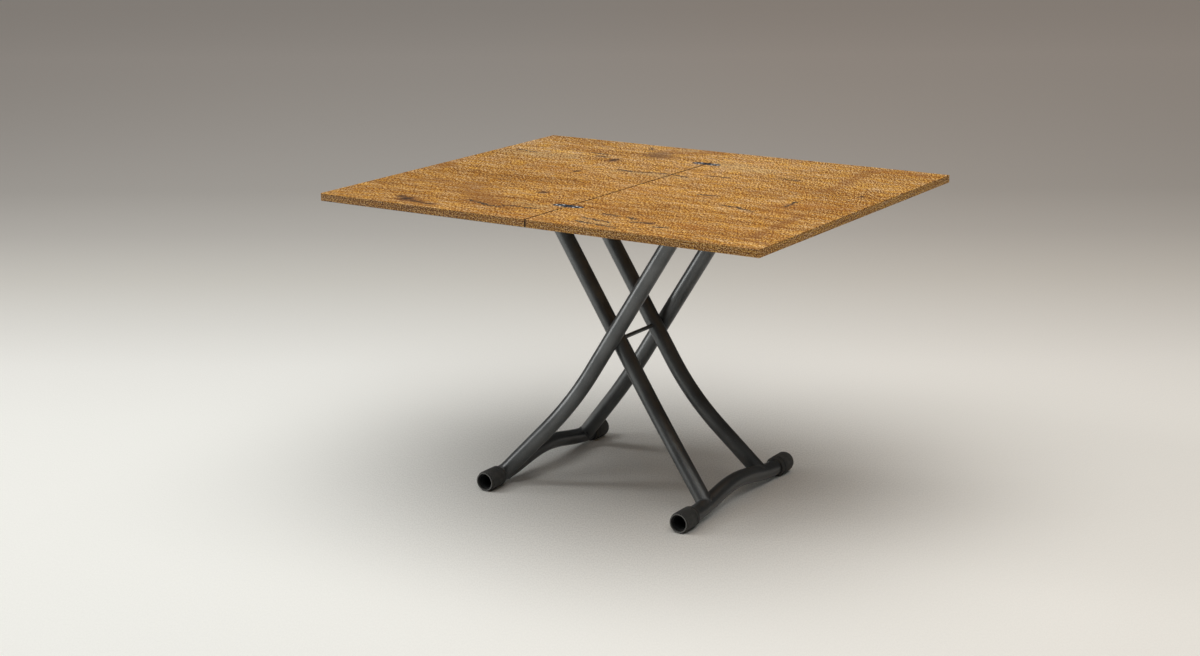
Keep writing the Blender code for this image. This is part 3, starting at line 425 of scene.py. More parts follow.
# Pivot: a coated steel rod through the four legs where they cross, so that the frames can scissor on it.
# Nylon spacers on the rod keep the outer and inner tubes from rubbing.
ROD_RADIUS = 0.005
ROD_HALF_LENGTH = 0.128
ROD_SIDES = 24
SAME_POINT = 1e-6
SAME_PLANE = math.radians(1)
FACET_ANGLE = math.radians(32)
EASE = 0.0005


def mesh_from(work, name):
    mesh = bpy.data.meshes.new(name)
    work.to_mesh(mesh)
    work.free()
    return mesh


def plain_copy(node, name):
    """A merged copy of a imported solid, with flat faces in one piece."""
    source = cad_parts[node].data
    work = bmesh.new()
    spots = [work.verts.new(v.co) for v in source.vertices]
    for face in source.polygons:
        work.faces.new([spots[i] for i in face.vertices])
    bmesh.ops.remove_doubles(work, verts=work.verts, dist=SAME_POINT)
    bmesh.ops.dissolve_limit(work, angle_limit=SAME_PLANE, verts=work.verts, edges=work.edges)
    return new_object(name, mesh_from(work, name))


def dress(node, finish, body, slot, rounding=EASE):
    """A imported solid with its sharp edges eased, in its real finish."""
    made = plain_copy(node, node + "_finished")
    made.data.materials.append(finish)
    made.data.shade_smooth()
    made.data.set_sharp_from_angle(angle=FACET_ANGLE)
    bevel = made.modifiers.new("eased", "BEVEL")
    bevel.width = rounding
    bevel.segments = 2
    bevel.limit_method = "ANGLE"
    bevel.angle_limit = SHARP_ANGLE
    bevel.harden_normals = True
    fit(settle(made), body, slot, node)


def nylon_finish():
    finish = Finish("black_nylon", {"Specular IOR Level": 0.4})
    place = finish.place()
    flow = finish.noise(place, scale=60.0, detail=3.0)
    grain = finish.noise(place, scale=1400.0)
    finish.feed(finish.shader, {
        "Base Color": finish.blend(flow, seen(30, 30, 31), seen(42, 42, 43)),
        "Roughness": 0.42 + 0.2 * flow,
        "Normal": finish.bump(grain, strength=0.15, distance=0.0003),
    })
    return finish.material


NYLON = nylon_finish()
ends = [Vector((0, y, CROSSING_Z)) for y in (-ROD_HALF_LENGTH, ROD_HALF_LENGTH)]
rod = tube("pivot_rod_coated", ends, ROD_RADIUS, ROD_SIDES, closed_ends=True)
rod.data.set_sharp_from_angle(angle=SHARP_ANGLE)
fit(stand(rod), "outer_frame", "anthracite_powder_coat", "pivot_rod")
for side_name in SIDES:
    dress("pivot_spacer_" + side_name, NYLON, "outer_frame", "black_nylon")

# Feet: moulded rubber sleeves pushed over the bar ends, with a collar, a deep groove, a barrel and a mouth.
# An inner lip stops the sleeve on the bar's end, and a key in the mouth takes the tool that turns it.
SLEEVE_LENGTH = 0.062
SLEEVE_INNER_Y = 0.210
SLEEVE_BORE = 0.0205
SLEEVE_STEPS = 72
SLEEVE_SHARP_ANGLE = math.radians(38)
# The section's corners: radius, distance from the inner end, and rounding.
SLEEVE_CORNERS = [
    (0.0207, 0.0000, 0.0004), (0.0252, 0.0000, 0.0040), (0.0252, 0.0118, 0.0007), (0.0233, 0.0122, 0.0005),
    (0.0233, 0.0150, 0.0005), (0.0255, 0.0154, 0.0007), (0.0255, 0.0562, 0.0007), (0.0228, 0.0564, 0.0003),
    (0.0228, 0.0574, 0.0003), (0.0236, 0.0576, 0.0003), (0.0236, 0.0620, 0.0008), (0.0208, 0.0620, 0.0006),
    (0.0205, 0.0570, 0.0010), (0.0176, 0.0566, 0.0004), (0.0176, 0.0554, 0.0003), (0.0205, 0.0552, 0.0002),
    (0.0205, 0.0010, 0.0002),
]
ROUNDING_STEPS = 4
KEY_ANGLE = math.radians(35)
KEY_SIZE = (0.0034, 0.0060, 0.0030)
KEY_SINK = 0.0005
KEY_INSET = 0.001
KEY_ROUNDING = 0.0007
MOUTH_Y = SLEEVE_INNER_Y + SLEEVE_LENGTH
# A painted highlight: the rim face at the sleeve's mouth is painted pale.
LIT_LIP_BAND = 0.001
# Inside the bore the rubber is painted near black, as shade.
BORE_SHADE_BAND = (0.0202, 0.0208)


def rubber_finish():
    finish = Finish("black_rubber", {"Specular IOR Level": 0.32})
    place = finish.place()
    bloom = finish.noise(place, scale=45.0, detail=4.0, roughness=0.6)
    pores = finish.noise(place, scale=1600.0)
    rubbed = finish.noise(finish.stretch(place, (1.0, 6.0, 1.0)), scale=130.0, detail=3.0)
    scuff = finish.step(rubbed, 0.6, 0.75)
    colour = finish.blend(finish.step(bloom, 0.4, 0.7), seen(66, 66, 65), seen(82, 82, 80))
    colour = finish.blend(scuff * 0.4, colour, seen(104, 103, 101))
    x, y, z = [finish.part(place, axis) for axis in "XYZ"]
    # Painted highlight: a pale band on the mouth's rim face.
    lit_lip = finish.step((y - BASE_Y).size(), MOUTH_Y - LIT_LIP_BAND, MOUTH_Y)
    colour = finish.blend(lit_lip * 0.7, colour, seen(118, 118, 116))
    spoke = finish.add("ShaderNodeCombineXYZ", None, {"X": x.size() - FOOT_X, "Y": z - FOOT_Z})
    radius = finish.measure("LENGTH", spoke)
    # The bore is painted near black: painted shade inside the sleeve.
    finish.feed(finish.shader, {
        "Base Color": finish.blend(finish.step(radius, *BORE_SHADE_BAND), seen(14, 14, 14), colour),
        "Roughness": 0.62 + 0.18 * bloom,
        "Normal": finish.bump(pores, strength=0.2, distance=0.0004),
    })
    return finish.material


def eased(corners):
    """The section through these corners, each rounded by an arc."""
    outline = []
    for i, (*spot, rounding) in enumerate(corners):
        spot = Vector(spot)
        back = (Vector(corners[i - 1][:2]) - spot).normalized()
        ahead = (Vector(corners[(i + 1) % len(corners)][:2]) - spot).normalized()
        half = back.angle(ahead) / 2
        centre = spot + (back + ahead).normalized() * rounding / math.sin(half)
        reach = rounding / math.tan(half)
        start, end = spot + back * reach - centre, spot + ahead * reach - centre
        for step in range(ROUNDING_STEPS + 1):
            share = step / ROUNDING_STEPS
            outline.append(centre + start.lerp(end, share).normalized() * rounding)
    return outline


def sleeve(name, foot_x, side, body):
    work = bmesh.new()
    turns = [math.tau * i / SLEEVE_STEPS for i in range(SLEEVE_STEPS)]
    rings = []
    for radius, along in eased(SLEEVE_CORNERS):
        y = side * (SLEEVE_INNER_Y + along)
        spots = [(foot_x + radius * math.cos(t), y, FOOT_Z + radius * math.sin(t)) for t in turns]
        rings.append([work.verts.new((x, y, max(z, 0.0))) for x, y, z in spots])
    for ring, after in zip(rings, rings[1:] + rings[:1]):
        for i in range(SLEEVE_STEPS):
            j = (i + 1) % SLEEVE_STEPS
            work.faces.new((ring[i], ring[j], after[j], after[i]))
    bmesh.ops.recalc_face_normals(work, faces=work.faces)
    centre = SLEEVE_BORE - KEY_SIZE[0] / 2 + KEY_SINK
    turned = Matrix.Rotation(-KEY_ANGLE, 4, "Y") @ Matrix.Translation((centre, 0, 0))
    spot = Vector((foot_x, side * (MOUTH_Y - KEY_SIZE[1] / 2 - KEY_INSET), FOOT_Z))
    set_in = Matrix.Translation(spot) @ turned @ Matrix.Diagonal((*KEY_SIZE, 1))
    key = bmesh.ops.create_cube(work, size=1, matrix=set_in)
    key_edges = list({edge for vertex in key["verts"] for edge in vertex.link_edges})
    bmesh.ops.bevel(work, geom=key_edges, offset=KEY_ROUNDING, segments=2, profile=0.5, affect="EDGES")
    mesh = mesh_from(work, name + "_sleeve")
    mesh.materials.append(RUBBER)
    mesh.shade_smooth()
    mesh.set_sharp_from_angle(angle=SLEEVE_SHARP_ANGLE)
    fit(stand(new_object(name + "_sleeve", mesh)), body, "black_rubber", name)


RUBBER = rubber_finish()
for side_name, side in SIDES.items():
    sleeve("outer_foot_" + side_name, -FOOT_X, side, "outer_feet")
    sleeve("inner_foot_" + side_name, FOOT_X, side, "inner_feet")

# Slides: zinc-plated spigots in the ends of the inner top tube, each turning in a moulded nylon block.
# The blocks run in the subframe's rails when the table sinks.
BLOCK_EASE = 0.0008
# The screws level with the top are a flat white: a painted highlight for their glints.
SCREW_GLINT_LEVEL = (0.755, 0.757)


def zinc_finish():
    """A cloudy metal, and a dull white on the screws that lie level with the top, painted to stand for their
    glints.
    """
    finish = Finish("zinc_plated_steel", {})
    place = finish.place()
    height = finish.part(place, "Z")
    cloud = finish.noise(place, scale=90.0, detail=4.0, roughness=0.6)
    drawn = finish.noise(finish.stretch(place, (1.0, 1.0, 30.0)), scale=160.0)
    finish.feed(finish.shader, {
        "Base Color": finish.blend(finish.step(cloud, 0.35, 0.65), seen(214, 217, 221), seen(244, 245, 244)),
        "Metallic": finish.step(height, *SCREW_GLINT_LEVEL, 0.9, 0.0),
        "Roughness": 0.3 + 0.16 * cloud + 0.08 * drawn,
        "Normal": finish.bump(drawn, strength=0.08, distance=0.0003),
    })
    return finish.material


ZINC = zinc_finish()
for side_name in SIDES:
    dress("slide_spigot_" + side_name, ZINC, "inner_frame", "zinc_plated_steel")
    dress("slide_block_" + side_name, NYLON, "slide_carriage", "black_nylon", BLOCK_EASE)

# Subframe: two rolled channel rails, three cross members and a plate under the swivel, welded and coated.
# Zinc-plated pins hold it on the outer legs, and nylon pads carry the leaves.
SUBFRAME_STEEL = (
    "rail_front", "rail_back", "cross_member_left", "cross_member_middle", "cross_member_right",
    "plate_spacer_front", "plate_spacer_back", "swivel_base_plate",
)
FINE_EASE = 0.0003

for node in SUBFRAME_STEEL:
    dress(node, COAT, "subframe", "anthracite_powder_coat")
for side_name in SIDES:
    dress("hinge_pin_" + side_name, ZINC, "subframe", "zinc_plated_steel")
    for end_name in ("left", "right"):
        dress("glide_pad_" + end_name + "_" + side_name, NYLON, "subframe", "black_nylon", FINE_EASE)

# Gas spring: a lacquered cylinder with a forged eye on the slide axle, and a ground rod on the subframe.
# It carries the top and locks at any height until its pin is pushed.
GROUND_EASE = 0.0002


def lacquer_finish():
    finish = Finish("gas_cylinder_lacquer", {"Coat Weight": 0.3, "Coat Roughness": 0.12})
    place = finish.place()
    cloud = finish.noise(place, scale=35.0, detail=3.0)
    finish.feed(finish.shader, {
        "Base Color": finish.blend(cloud, seen(30, 30, 32), seen(40, 40, 43)),
        "Roughness": 0.2 + 0.14 * cloud,
    })
    return finish.material


def ground_finish():
    finish = Finish("ground_rod", {"Metallic": 1.0})
    marks = finish.noise(finish.stretch(finish.place(), (60.0, 1.0, 1.0)), scale=90.0)
    finish.feed(finish.shader, {
        "Base Color": finish.blend(marks, seen(214, 214, 216), seen(232, 232, 233)),
        "Roughness": 0.07 + 0.1 * marks,
    })
    return finish.material


dress("gas_cylinder", lacquer_finish(), "slide_carriage", "gas_cylinder_lacquer")
dress("gas_rod", ground_finish(), "subframe", "ground_rod", GROUND_EASE)
dress("cylinder_eye", ZINC, "slide_carriage", "zinc_plated_steel")

# Release: a folded steel bracket on the right cross member, with a lever on a pin and a moulded grip.
# Pulling the grip up turns the lever, which pushes the pin in the end of the gas spring's rod.
GRIP_EASE = 0.001

dress("release_bracket", COAT, "subframe", "anthracite_powder_coat")
dress("lever_pin", ZINC, "subframe", "zinc_plated_steel", FINE_EASE)
dress("release_lever", COAT, "lever", "anthracite_powder_coat")
dress("lever_grip", NYLON, "lever", "black_nylon", GRIP_EASE)
dress("release_pin", ZINC, "unlocking_pin", "zinc_plated_steel", FINE_EASE)

# Swivel: a steel plate screwed under the fixed leaf, a bolt with a nut, a stop pin and a nylon bearing ring.
# The top turns a quarter on it, and the stop pin runs in a slot of the base plate.
dress("swivel_bearing", NYLON, "subframe", "black_nylon")
for node in ("swivel_top_plate", "swivel_bolt", "swivel_nut", "stop_pin"):
    dress(node, ZINC, "fixed_top", "zinc_plated_steel", FINE_EASE)

# Leaves: two 19 mm boards faced and edged with a rustic oak print, saw marked, cracked and knotted.
# The folding leaf is printed below as well, where it becomes the top of the folded table.
# The fixed leaf has a plain grey foil there.
PRINT = "print"
# How far from the top face's print the other faces take theirs, in metres: long edges, ends and undersides.
EDGE_OFFSET = 4.0
END_OFFSET = 8.0
FOLDED_OFFSET = 16.0
UNDERSIDE_OFFSET = 24.0
EDGE_STRETCH = 6.0
FACING = 0.5
# A band of painted shade along the seam between the leaves, fainter at the back of the top.
SEAM_SHADE_BAND = (0.0015, 0.0028)
SEAM_FADE = (0.340, 0.360)
SEAM_FADED = 0.9
SEAM_SHADE_TONE = seen(28, 20, 14)
PAST_TOP = (0.6, 1.0)
BACK_HALF = (-0.3, 0.5)
UNCHANGED = (1.0, 1.0, 1.0, 1.0)
PRINT_SHADES = [
    (0.0, seen(76, 30, 0)), (0.25, seen(130, 76, 4)), (0.5, seen(171, 116, 37)),
    (0.75, seen(209, 158, 85)), (1.0, seen(251, 209, 138)),
]
COOL_TINT = (0.97, 1.03, 1.45, 1.0)
WARM_TINT = (1.04, 0.94, 0.5, 1.0)
# The tint of the painted sheen on the back of the top.
SHEEN_TINT = (1.14, 1.20, 1.40, 1.0)
BELOW_TINT = (0.74, 0.82, 0.88, 1.0)
# The colour of the painted shade on the edges.
EDGE_SHADE_TONE = seen(72, 44, 6)
RUST_TONE = seen(160, 94, 32)
FOIL_TONES = (seen(70, 69, 66), seen(84, 82, 79))
CRACK_TONES = (seen(118, 78, 44), seen(58, 50, 44))
KNOT_TONES = (seen(112, 70, 34), seen(54, 38, 28))
STAIN_TONE = seen(132, 80, 34)
SMUDGE_TONE = seen(96, 78, 56)
PALE_TONE = seen(214, 186, 132)
# The print's larger marks. A crack is a line of points, a knot a middle and its radii.
# A stain, smudge or pale streak is a line between two points and its width.
CRACKS = [
    [(-0.544, 0.258), (-0.515, 0.252), (-0.481, 0.246)],
    [(-0.344, 0.315), (-0.294, 0.311)],
    [(-0.306, 0.278), (-0.272, 0.277)],
    [(-0.250, 0.462), (-0.232, 0.440)],
    [(-0.150, 0.136), (-0.106, 0.130), (-0.050, 0.143), (0.0, 0.149), (0.050, 0.134)],
    [(0.088, 0.177), (0.144, 0.180)],
    [(0.250, 0.243), (0.281, 0.236), (0.312, 0.234)],
    [(0.188, -0.045), (0.238, -0.039)],
    [(0.428, -0.008), (0.431, -0.070)],
    [(0.300, -0.130), (0.344, -0.136), (0.394, -0.164)],
    [(-0.238, -0.383), (-0.200, -0.395), (-0.163, -0.411), (-0.135, -0.411)],
    [(-0.131, -0.389), (-0.050, -0.385)],
    [(0.118, -0.357), (0.162, -0.361)],
    [(0.222, -0.402), (0.268, -0.386)],
    [(0.100, -0.414), (0.150, -0.423), (0.181, -0.433)],
    [(0.106, -0.451), (0.163, -0.464), (0.225, -0.470)],
    [(0.190, -0.364), (0.212, -0.371)],
    [(0.290, -0.420), (0.318, -0.412)],
]
KNOTS = [
    ((-0.236, 0.248), (0.015, 0.029)),
    ((-0.231, 0.061), (0.009, 0.019)),
    ((-0.144, -0.214), (0.017, 0.014)),
    ((-0.378, -0.446), (0.027, 0.026)),
    ((-0.405, -0.430), (0.018, 0.013)),
    ((-0.340, -0.460), (0.030, 0.012)),
    ((-0.300, -0.468), (0.026, 0.008)),
    ((0.531, 0.130), (0.009, 0.011)),
    ((0.262, -0.395), (0.012, 0.010)),
]
STAINS = [
    ((-0.175, 0.430), (-0.060, 0.480), 0.045),
    ((-0.185, 0.372), (-0.165, 0.362), 0.050),
    ((-0.590, 0.010), (-0.570, -0.045), 0.045),
    ((-0.375, -0.448), (-0.285, -0.475), 0.034),
    ((0.405, 0.440), (0.425, 0.250), 0.028),
    ((-0.500, -0.240), (-0.440, -0.225), 0.040),
    ((-0.340, -0.240), (-0.200, -0.380), 0.070),
    ((0.281, 0.049), (0.362, 0.040), 0.018),
    ((0.431, 0.211), (0.420, 0.140), 0.022),
    ((0.500, -0.426), (0.587, -0.445), 0.014),
    ((0.510, -0.140), (0.525, -0.400), 0.020),
]
SMUDGES = [((-0.185, 0.385), (-0.165, 0.355), 0.055)]
PALE = [
    ((-0.530, 0.225), (-0.370, 0.230), 0.060),
    ((-0.150, 0.118), (0.060, 0.118), 0.022),
    ((-0.125, -0.350), (-0.050, -0.357), 0.026),
    ((0.110, -0.440), (0.190, -0.448), 0.014),
    ((0.040, 0.340), (0.180, 0.300), 0.060),
    ((-0.150, 0.468), (-0.130, 0.475), 0.030),
]


def oak_finish():
    finish = Finish("oak_print", {"Specular IOR Level": 0.35})
    place = finish.add("ShaderNodeUVMap", {"uv_map": PRINT})

    def marks(spot, along, across, detail, roughness=0.5):
        """Noise with so many marks to the metre along and across the grain."""
        return finish.noise(finish.stretch(spot, (along, across, 1.0)), 1.0, detail, roughness)

    # The wood: bent growth rings and fibres, with saw marks, specks and patches over them.
    bend = marks(place, 2.2, 3.6, 2.0)
    shift = finish.add("ShaderNodeCombineXYZ", None, {"Y": 0.05 * (bend - 0.5)})
    grain_place = finish.vector("ADD", place, shift)
    growth = marks(grain_place, 1.5, 24.0, 5.0, 0.6)
    fibre = marks(grain_place, 14.0, 240.0, 3.0, 0.55)
    saw = marks(place, 190.0, 36.0, 3.0, 0.6)
    speck = marks(place, 450.0, 130.0, 0.0)
    patch = marks(place, 4.2, 5.2, 3.0, 0.55)
    along = finish.part(place, "X")
    area = finish.part(place, "Y")
    on_top = finish.step(area, *PAST_TOP, 1.0, 0.0)
    back = finish.step(area, *BACK_HALF) * on_top
    below = finish.step(area, 0.85 * FOLDED_OFFSET, 0.93 * FOLDED_OFFSET)
    light = 0.515 + 0.9 * (growth - 0.5) + 0.85 * (fibre - 0.5) + 0.5 * (saw - 0.5) + 0.4 * (patch - 0.5)
    light = light + (2.05 + 0.7 * back - 0.95 * below) * (speck - 0.5)
    edging = finish.step(area, 0.5 * EDGE_OFFSET, 0.6 * EDGE_OFFSET) * (1.0 - below)
    crumb = marks(place, 270.0, 60.0, 0.0)
    light = light + 2.3 * edging * (crumb - 0.5)
    # Its colour: shades from dark to light, cooler and warmer streaks, and rust.
    colour = finish.ramp(light, PRINT_SHADES)
    tint = marks(grain_place, 20.0, 60.0, 3.0, 0.6)
    colour = finish.stretch(colour, finish.blend(finish.step(tint, 0.36, 0.64), COOL_TINT, WARM_TINT))
    rust = marks(grain_place, 3.0, 7.0, 3.0, 0.6)
    colour = finish.blend(finish.step(rust, 0.52, 0.74, 0.0, 0.4), colour, RUST_TONE)
    wander = marks(place, 60.0, 60.0, 3.0, 0.6)
    swing = wander - 0.5
    sway = finish.add("ShaderNodeCombineXYZ", None, {"X": 0.03 * swing, "Y": 0.022 * swing})
    drawn_place = finish.vector("ADD", place, sway)

    def reach(start, end):
        """How far a point of the print lies from a line between two points."""
        start, end = Vector((*start, 0)), Vector((*end, 0))
        run = end - start
        offset = finish.vector("SUBTRACT", drawn_place, start)
        settings = {"operation": "MULTIPLY", "use_clamp": True}
        sockets = {0: finish.measure("DOT_PRODUCT", offset, run), 1: 1 / run.length_squared}
        share = finish.add("ShaderNodeMath", settings, sockets)
        nearest = finish.add("ShaderNodeVectorMath", {"operation": "SCALE"}, {0: run, "Scale": share})
        return finish.measure("DISTANCE", offset, nearest)

    def ring(centre, radii):
        """How far a point lies from a knot's middle, where 1 is the knot's rim."""
        offset = finish.vector("SUBTRACT", drawn_place, (*centre, 0))
        return finish.measure("LENGTH", finish.stretch(offset, (1 / radii[0], 1 / radii[1], 1.0)))

    def nearest_of(values):
        """The least of many values, taken as each is made: a shader holds only so many at once."""
        least = None
        for value in values:
            least = least.least(value) if least else value
        return least

    def nearest_spot(spots):
        """How far a point lies from the nearest of these spots, in that spot's width."""
        return nearest_of(reach(start, end) * (1 / width) for start, end, width in spots)

    # The larger marks: stains, a smudge, pale streaks, cracks and knots.
    stain = nearest_spot(STAINS) + 0.5 * (patch - 0.5) + 0.5 * (growth - 0.5)
    colour = finish.blend(finish.step(stain, 0.2, 1.1, 0.46, 0.0), colour, STAIN_TONE)
    smudge = nearest_spot(SMUDGES) + 0.9 * (speck - 0.5) + 0.5 * (patch - 0.5)
    colour = finish.blend(finish.step(smudge, 0.1, 1.1, 0.45, 0.0), colour, SMUDGE_TONE)
    pale = finish.step(nearest_spot(PALE), 0.2, 1.0, 0.6, 0.0) * finish.step(fibre + 0.6 * speck, 0.7, 0.95)
    colour = finish.blend(pale, colour, PALE_TONE)
    strokes = [pair for line in CRACKS for pair in zip(line, line[1:])]
    crack = nearest_of(reach(start, end) for start, end in strokes) + 0.009 * (speck - 0.5)
    colour = finish.blend(finish.step(crack, 0.003, 0.013, 0.4, 0.0), colour, CRACK_TONES[0])
    split = finish.step(crack, 0.0020, 0.0062, 1.0, 0.0) * finish.step(wander, 0.36, 0.50, 0.35, 1.0)
    colour = finish.blend(split, colour, CRACK_TONES[1])
    knot = nearest_of(ring(centre, radii) for centre, radii in KNOTS) + 0.5 * (speck - 0.5)
    colour = finish.blend(finish.step(knot, 0.5, 1.6, 0.7, 0.0), colour, KNOT_TONES[0])
    colour = finish.blend(finish.step(knot, 0.1, 1.0, 0.9, 0.0), colour, KNOT_TONES[1])
    # Then a painted sheen, paler towards the back of the top, and the whole print darker towards its left
    # end; painted shade on the edges, less of it on the ends; the undersides; and painted shade along the
    # seam.
    painted_sheen = back * finish.step(along, 0.05, 0.45, 1.0, 0.0)
    colour = finish.stretch(colour, finish.blend(painted_sheen, UNCHANGED, SHEEN_TINT))
    colour = finish.stretch(colour, finish.step(along, -0.6, 0.1, 0.88, 0.99))
    # Painted shade on the long edges, and less of it on the ends.
    edge_shade = finish.step(along, 0.5 * END_OFFSET, 0.6 * END_OFFSET, 0.44, 0.14)
    colour = finish.blend(edging * edge_shade, colour, EDGE_SHADE_TONE)
    colour = finish.stretch(colour, finish.blend(below, UNCHANGED, BELOW_TINT))
    foil = finish.blend(finish.step(fibre + 0.5 * speck, 0.6, 0.9), *FOIL_TONES)
    colour = finish.blend(finish.step(area, 0.8 * UNDERSIDE_OFFSET, 0.85 * UNDERSIDE_OFFSET), colour, foil)
    # Painted shade along the seam between the leaves, fainter at the back of the top.
    faint = finish.step(area, *SEAM_FADE) * (SEAM_FADED * on_top)
    seam = finish.step(along.size(), *SEAM_SHADE_BAND, 1.0, 0.0) * (1.0 - faint)
    finish.feed(finish.shader, {
        "Base Color": finish.blend(seam, colour, SEAM_SHADE_TONE),
        "Roughness": 0.62 - 0.14 * (saw - 0.5) + 0.1 * split,
        "Normal": finish.bump(0.5 * saw + 0.35 * fibre, strength=0.25, distance=0.0010),
    })
    return finish.material


def lay_print(mesh, underside):
    """Lays the print in metres: along X over the faces, and along each edge, where it is finer in height."""
    layer = mesh.uv_layers.new(name=PRINT)
    for face in mesh.polygons:
        for corner in face.loop_indices:
            x, y, z = mesh.vertices[mesh.loops[corner].vertex_index].co
            if face.normal.z > FACING:
                layer.data[corner].uv = (x, y)
            elif face.normal.z < -FACING:
                layer.data[corner].uv = (x, y + underside)
            elif abs(face.normal.y) > FACING:
                layer.data[corner].uv = (x, EDGE_STRETCH * z + EDGE_OFFSET)
            else:
                layer.data[corner].uv = (y + END_OFFSET, EDGE_STRETCH * z + END_OFFSET)


OAK = oak_finish()
for node, body, underside in (
    ("fixed_leaf", "fixed_top", UNDERSIDE_OFFSET), ("folding_leaf", "folding_top", FOLDED_OFFSET),
):
    board = plain_copy(node, node + "_printed")
    lay_print(board.data, underside)
    board.data.materials.append(OAK)
    fit(board, body, "oak_print", node)

# Hinges: flush graphite plates let into both leaves, with two-pin links so that the top folds flat.
# Each half is held by three countersunk cross-recess screws.
HINGE_Y = 0.323
TOP_Z = 0.760
SCREW_SPOTS = [(0.0325, 0.0), (0.0185, -0.0078), (0.0185, 0.0078)]
SCREW_RADIUS = 0.0035
SCREW_DOME = 0.0005
SCREW_DROP = 0.0002
SCREW_SIDES = 24
SCREW_TAPER = 0.5
RIM_DROP = 0.0002
SINK_DEPTH = 0.0020
# The cone that cuts a sink has some play round the screw, below and above, and stands over the plate.
SINK_SIDES = 32
SINK_PLAY = (0.0002, 0.0003)
SINK_OVER = 0.001
RECESS_ARM = 0.0013
RECESS_HALF_WIDTH = 0.0003
RECESS_DEPTH = 0.0009
RECESS_TAPER = 0.6
FIRST_TURN = 0.4
TURN_BETWEEN = 1.1


def graphite_finish():
    finish = Finish("graphite_hinge", {"Specular IOR Level": 0.3})
    place = finish.place()
    cloud = finish.noise(place, scale=120.0, detail=3.0)
    brushed = finish.noise(finish.stretch(place, (1.0, 40.0, 1.0)), scale=90.0)
    finish.feed(finish.shader, {
        "Base Color": finish.blend(cloud, seen(46, 50, 58), seen(66, 70, 79)),
        "Roughness": 0.42 + 0.15 * brushed,
        "Normal": finish.bump(brushed, strength=0.1, distance=0.0003),
    })
    return finish.material


def screw_head():
    """A countersunk head, slightly domed, with a tapered cross."""
    work = bmesh.new()
    turns = [math.tau * i / SCREW_SIDES for i in range(SCREW_SIDES)]
    circle = [(SCREW_RADIUS * math.cos(t), SCREW_RADIUS * math.sin(t)) for t in turns]
    rim = [work.verts.new((x, y, -RIM_DROP)) for x, y in circle]
    a, b = RECESS_ARM, RECESS_HALF_WIDTH
    outline = [
        (a, b), (b, b), (b, a), (-b, a), (-b, b), (-a, b),
        (-a, -b), (-b, -b), (-b, -a), (b, -a), (b, -b), (a, -b),
    ]
    mouth = [work.verts.new((x, y, SCREW_DOME)) for x, y in outline]
    floor = [work.verts.new((RECESS_TAPER * x, RECESS_TAPER * y, -RECESS_DEPTH)) for x, y in outline]
    edges = []
    for loop in (rim, mouth):
        edges += [work.edges.new((loop[i], loop[i - 1])) for i in range(len(loop))]
    bmesh.ops.triangle_fill(work, use_beauty=True, edges=edges, normal=(0, 0, 1))
    for i in range(len(mouth)):
        work.faces.new((mouth[i - 1], mouth[i], floor[i], floor[i - 1]))
    work.faces.new(floor)
    skirt = [work.verts.new((SCREW_TAPER * v.co.x, SCREW_TAPER * v.co.y, -SINK_DEPTH)) for v in rim]
    for i in range(SCREW_SIDES):
        work.faces.new((rim[i - 1], rim[i], skirt[i], skirt[i - 1]))
    work.faces.new(skirt)
    bmesh.ops.recalc_face_normals(work, faces=work.faces)
    return new_object("screw_head", mesh_from(work, "screw_head"))


def screw_rule():
    """Screws on the points of a source mesh, each facing out of its point and turned as it stopped."""
    rule = Rule("screws_on_points", {"Head": "Object"})
    head = rule.add("GeometryNodeObjectInfo", None, {"Object": rule.given("Head")}, out="Geometry")
    settings = {"data_type": "FLOAT_VECTOR"}
    out = rule.add("GeometryNodeInputNamedAttribute", settings, {"Name": "out"})
    turn = rule.add("GeometryNodeInputNamedAttribute", {"data_type": "FLOAT"}, {"Name": "turn"})
    start = rule.add("ShaderNodeCombineXYZ", None, {"Z": turn})
    sockets = {"Rotation": start, "Vector": out}
    facing = rule.add("FunctionNodeAlignRotationToVector", {"axis": "Z"}, sockets)
    spots = rule.add("GeometryNodeMeshToPoints", None, {"Mesh": rule.given("Source")})
    sockets = {"Points": spots, "Instance": head, "Rotation": facing}
    rule.close(rule.add("GeometryNodeInstanceOnPoints", None, sockets))
    return rule


def screws(name, head, spots, out, finish):
    """Screws at these spots, as one plain mesh."""
    mesh = path_mesh(spots)
    mesh.attributes.new("out", "FLOAT_VECTOR", "POINT")
    mesh.attributes.new("turn", "FLOAT", "POINT")
    for i in range(len(spots)):
        mesh.attributes["out"].data[i].vector = out
        mesh.attributes["turn"].data[i].value = FIRST_TURN + TURN_BETWEEN * i
    return SCREWS.make(name, mesh, {"Head": head, "Finish": finish})


def countersink(plate, spots):
    """Sinks a cone into the plate for each screw."""
    work = bmesh.new()
    slope = SCREW_RADIUS * SCREW_TAPER / SINK_DEPTH
    low_radius = SCREW_RADIUS * SCREW_TAPER + SINK_PLAY[0]
    high_radius = SCREW_RADIUS + SINK_PLAY[1] + SINK_OVER * slope
    for x, y, z in spots:
        centre = Matrix.Translation((x, y, z + (SINK_OVER - SINK_DEPTH) / 2))
        bmesh.ops.create_cone(work, cap_ends=True, segments=SINK_SIDES, radius1=low_radius,
                              radius2=high_radius, depth=SINK_DEPTH + SINK_OVER, matrix=centre)
    sinks = new_object("sinks", mesh_from(work, "sinks"))
    cut = plate.modifiers.new("sinks", "BOOLEAN")
    cut.object = sinks
    cut.solver = "EXACT"
    settle(plate)
    bpy.data.objects.remove(sinks)


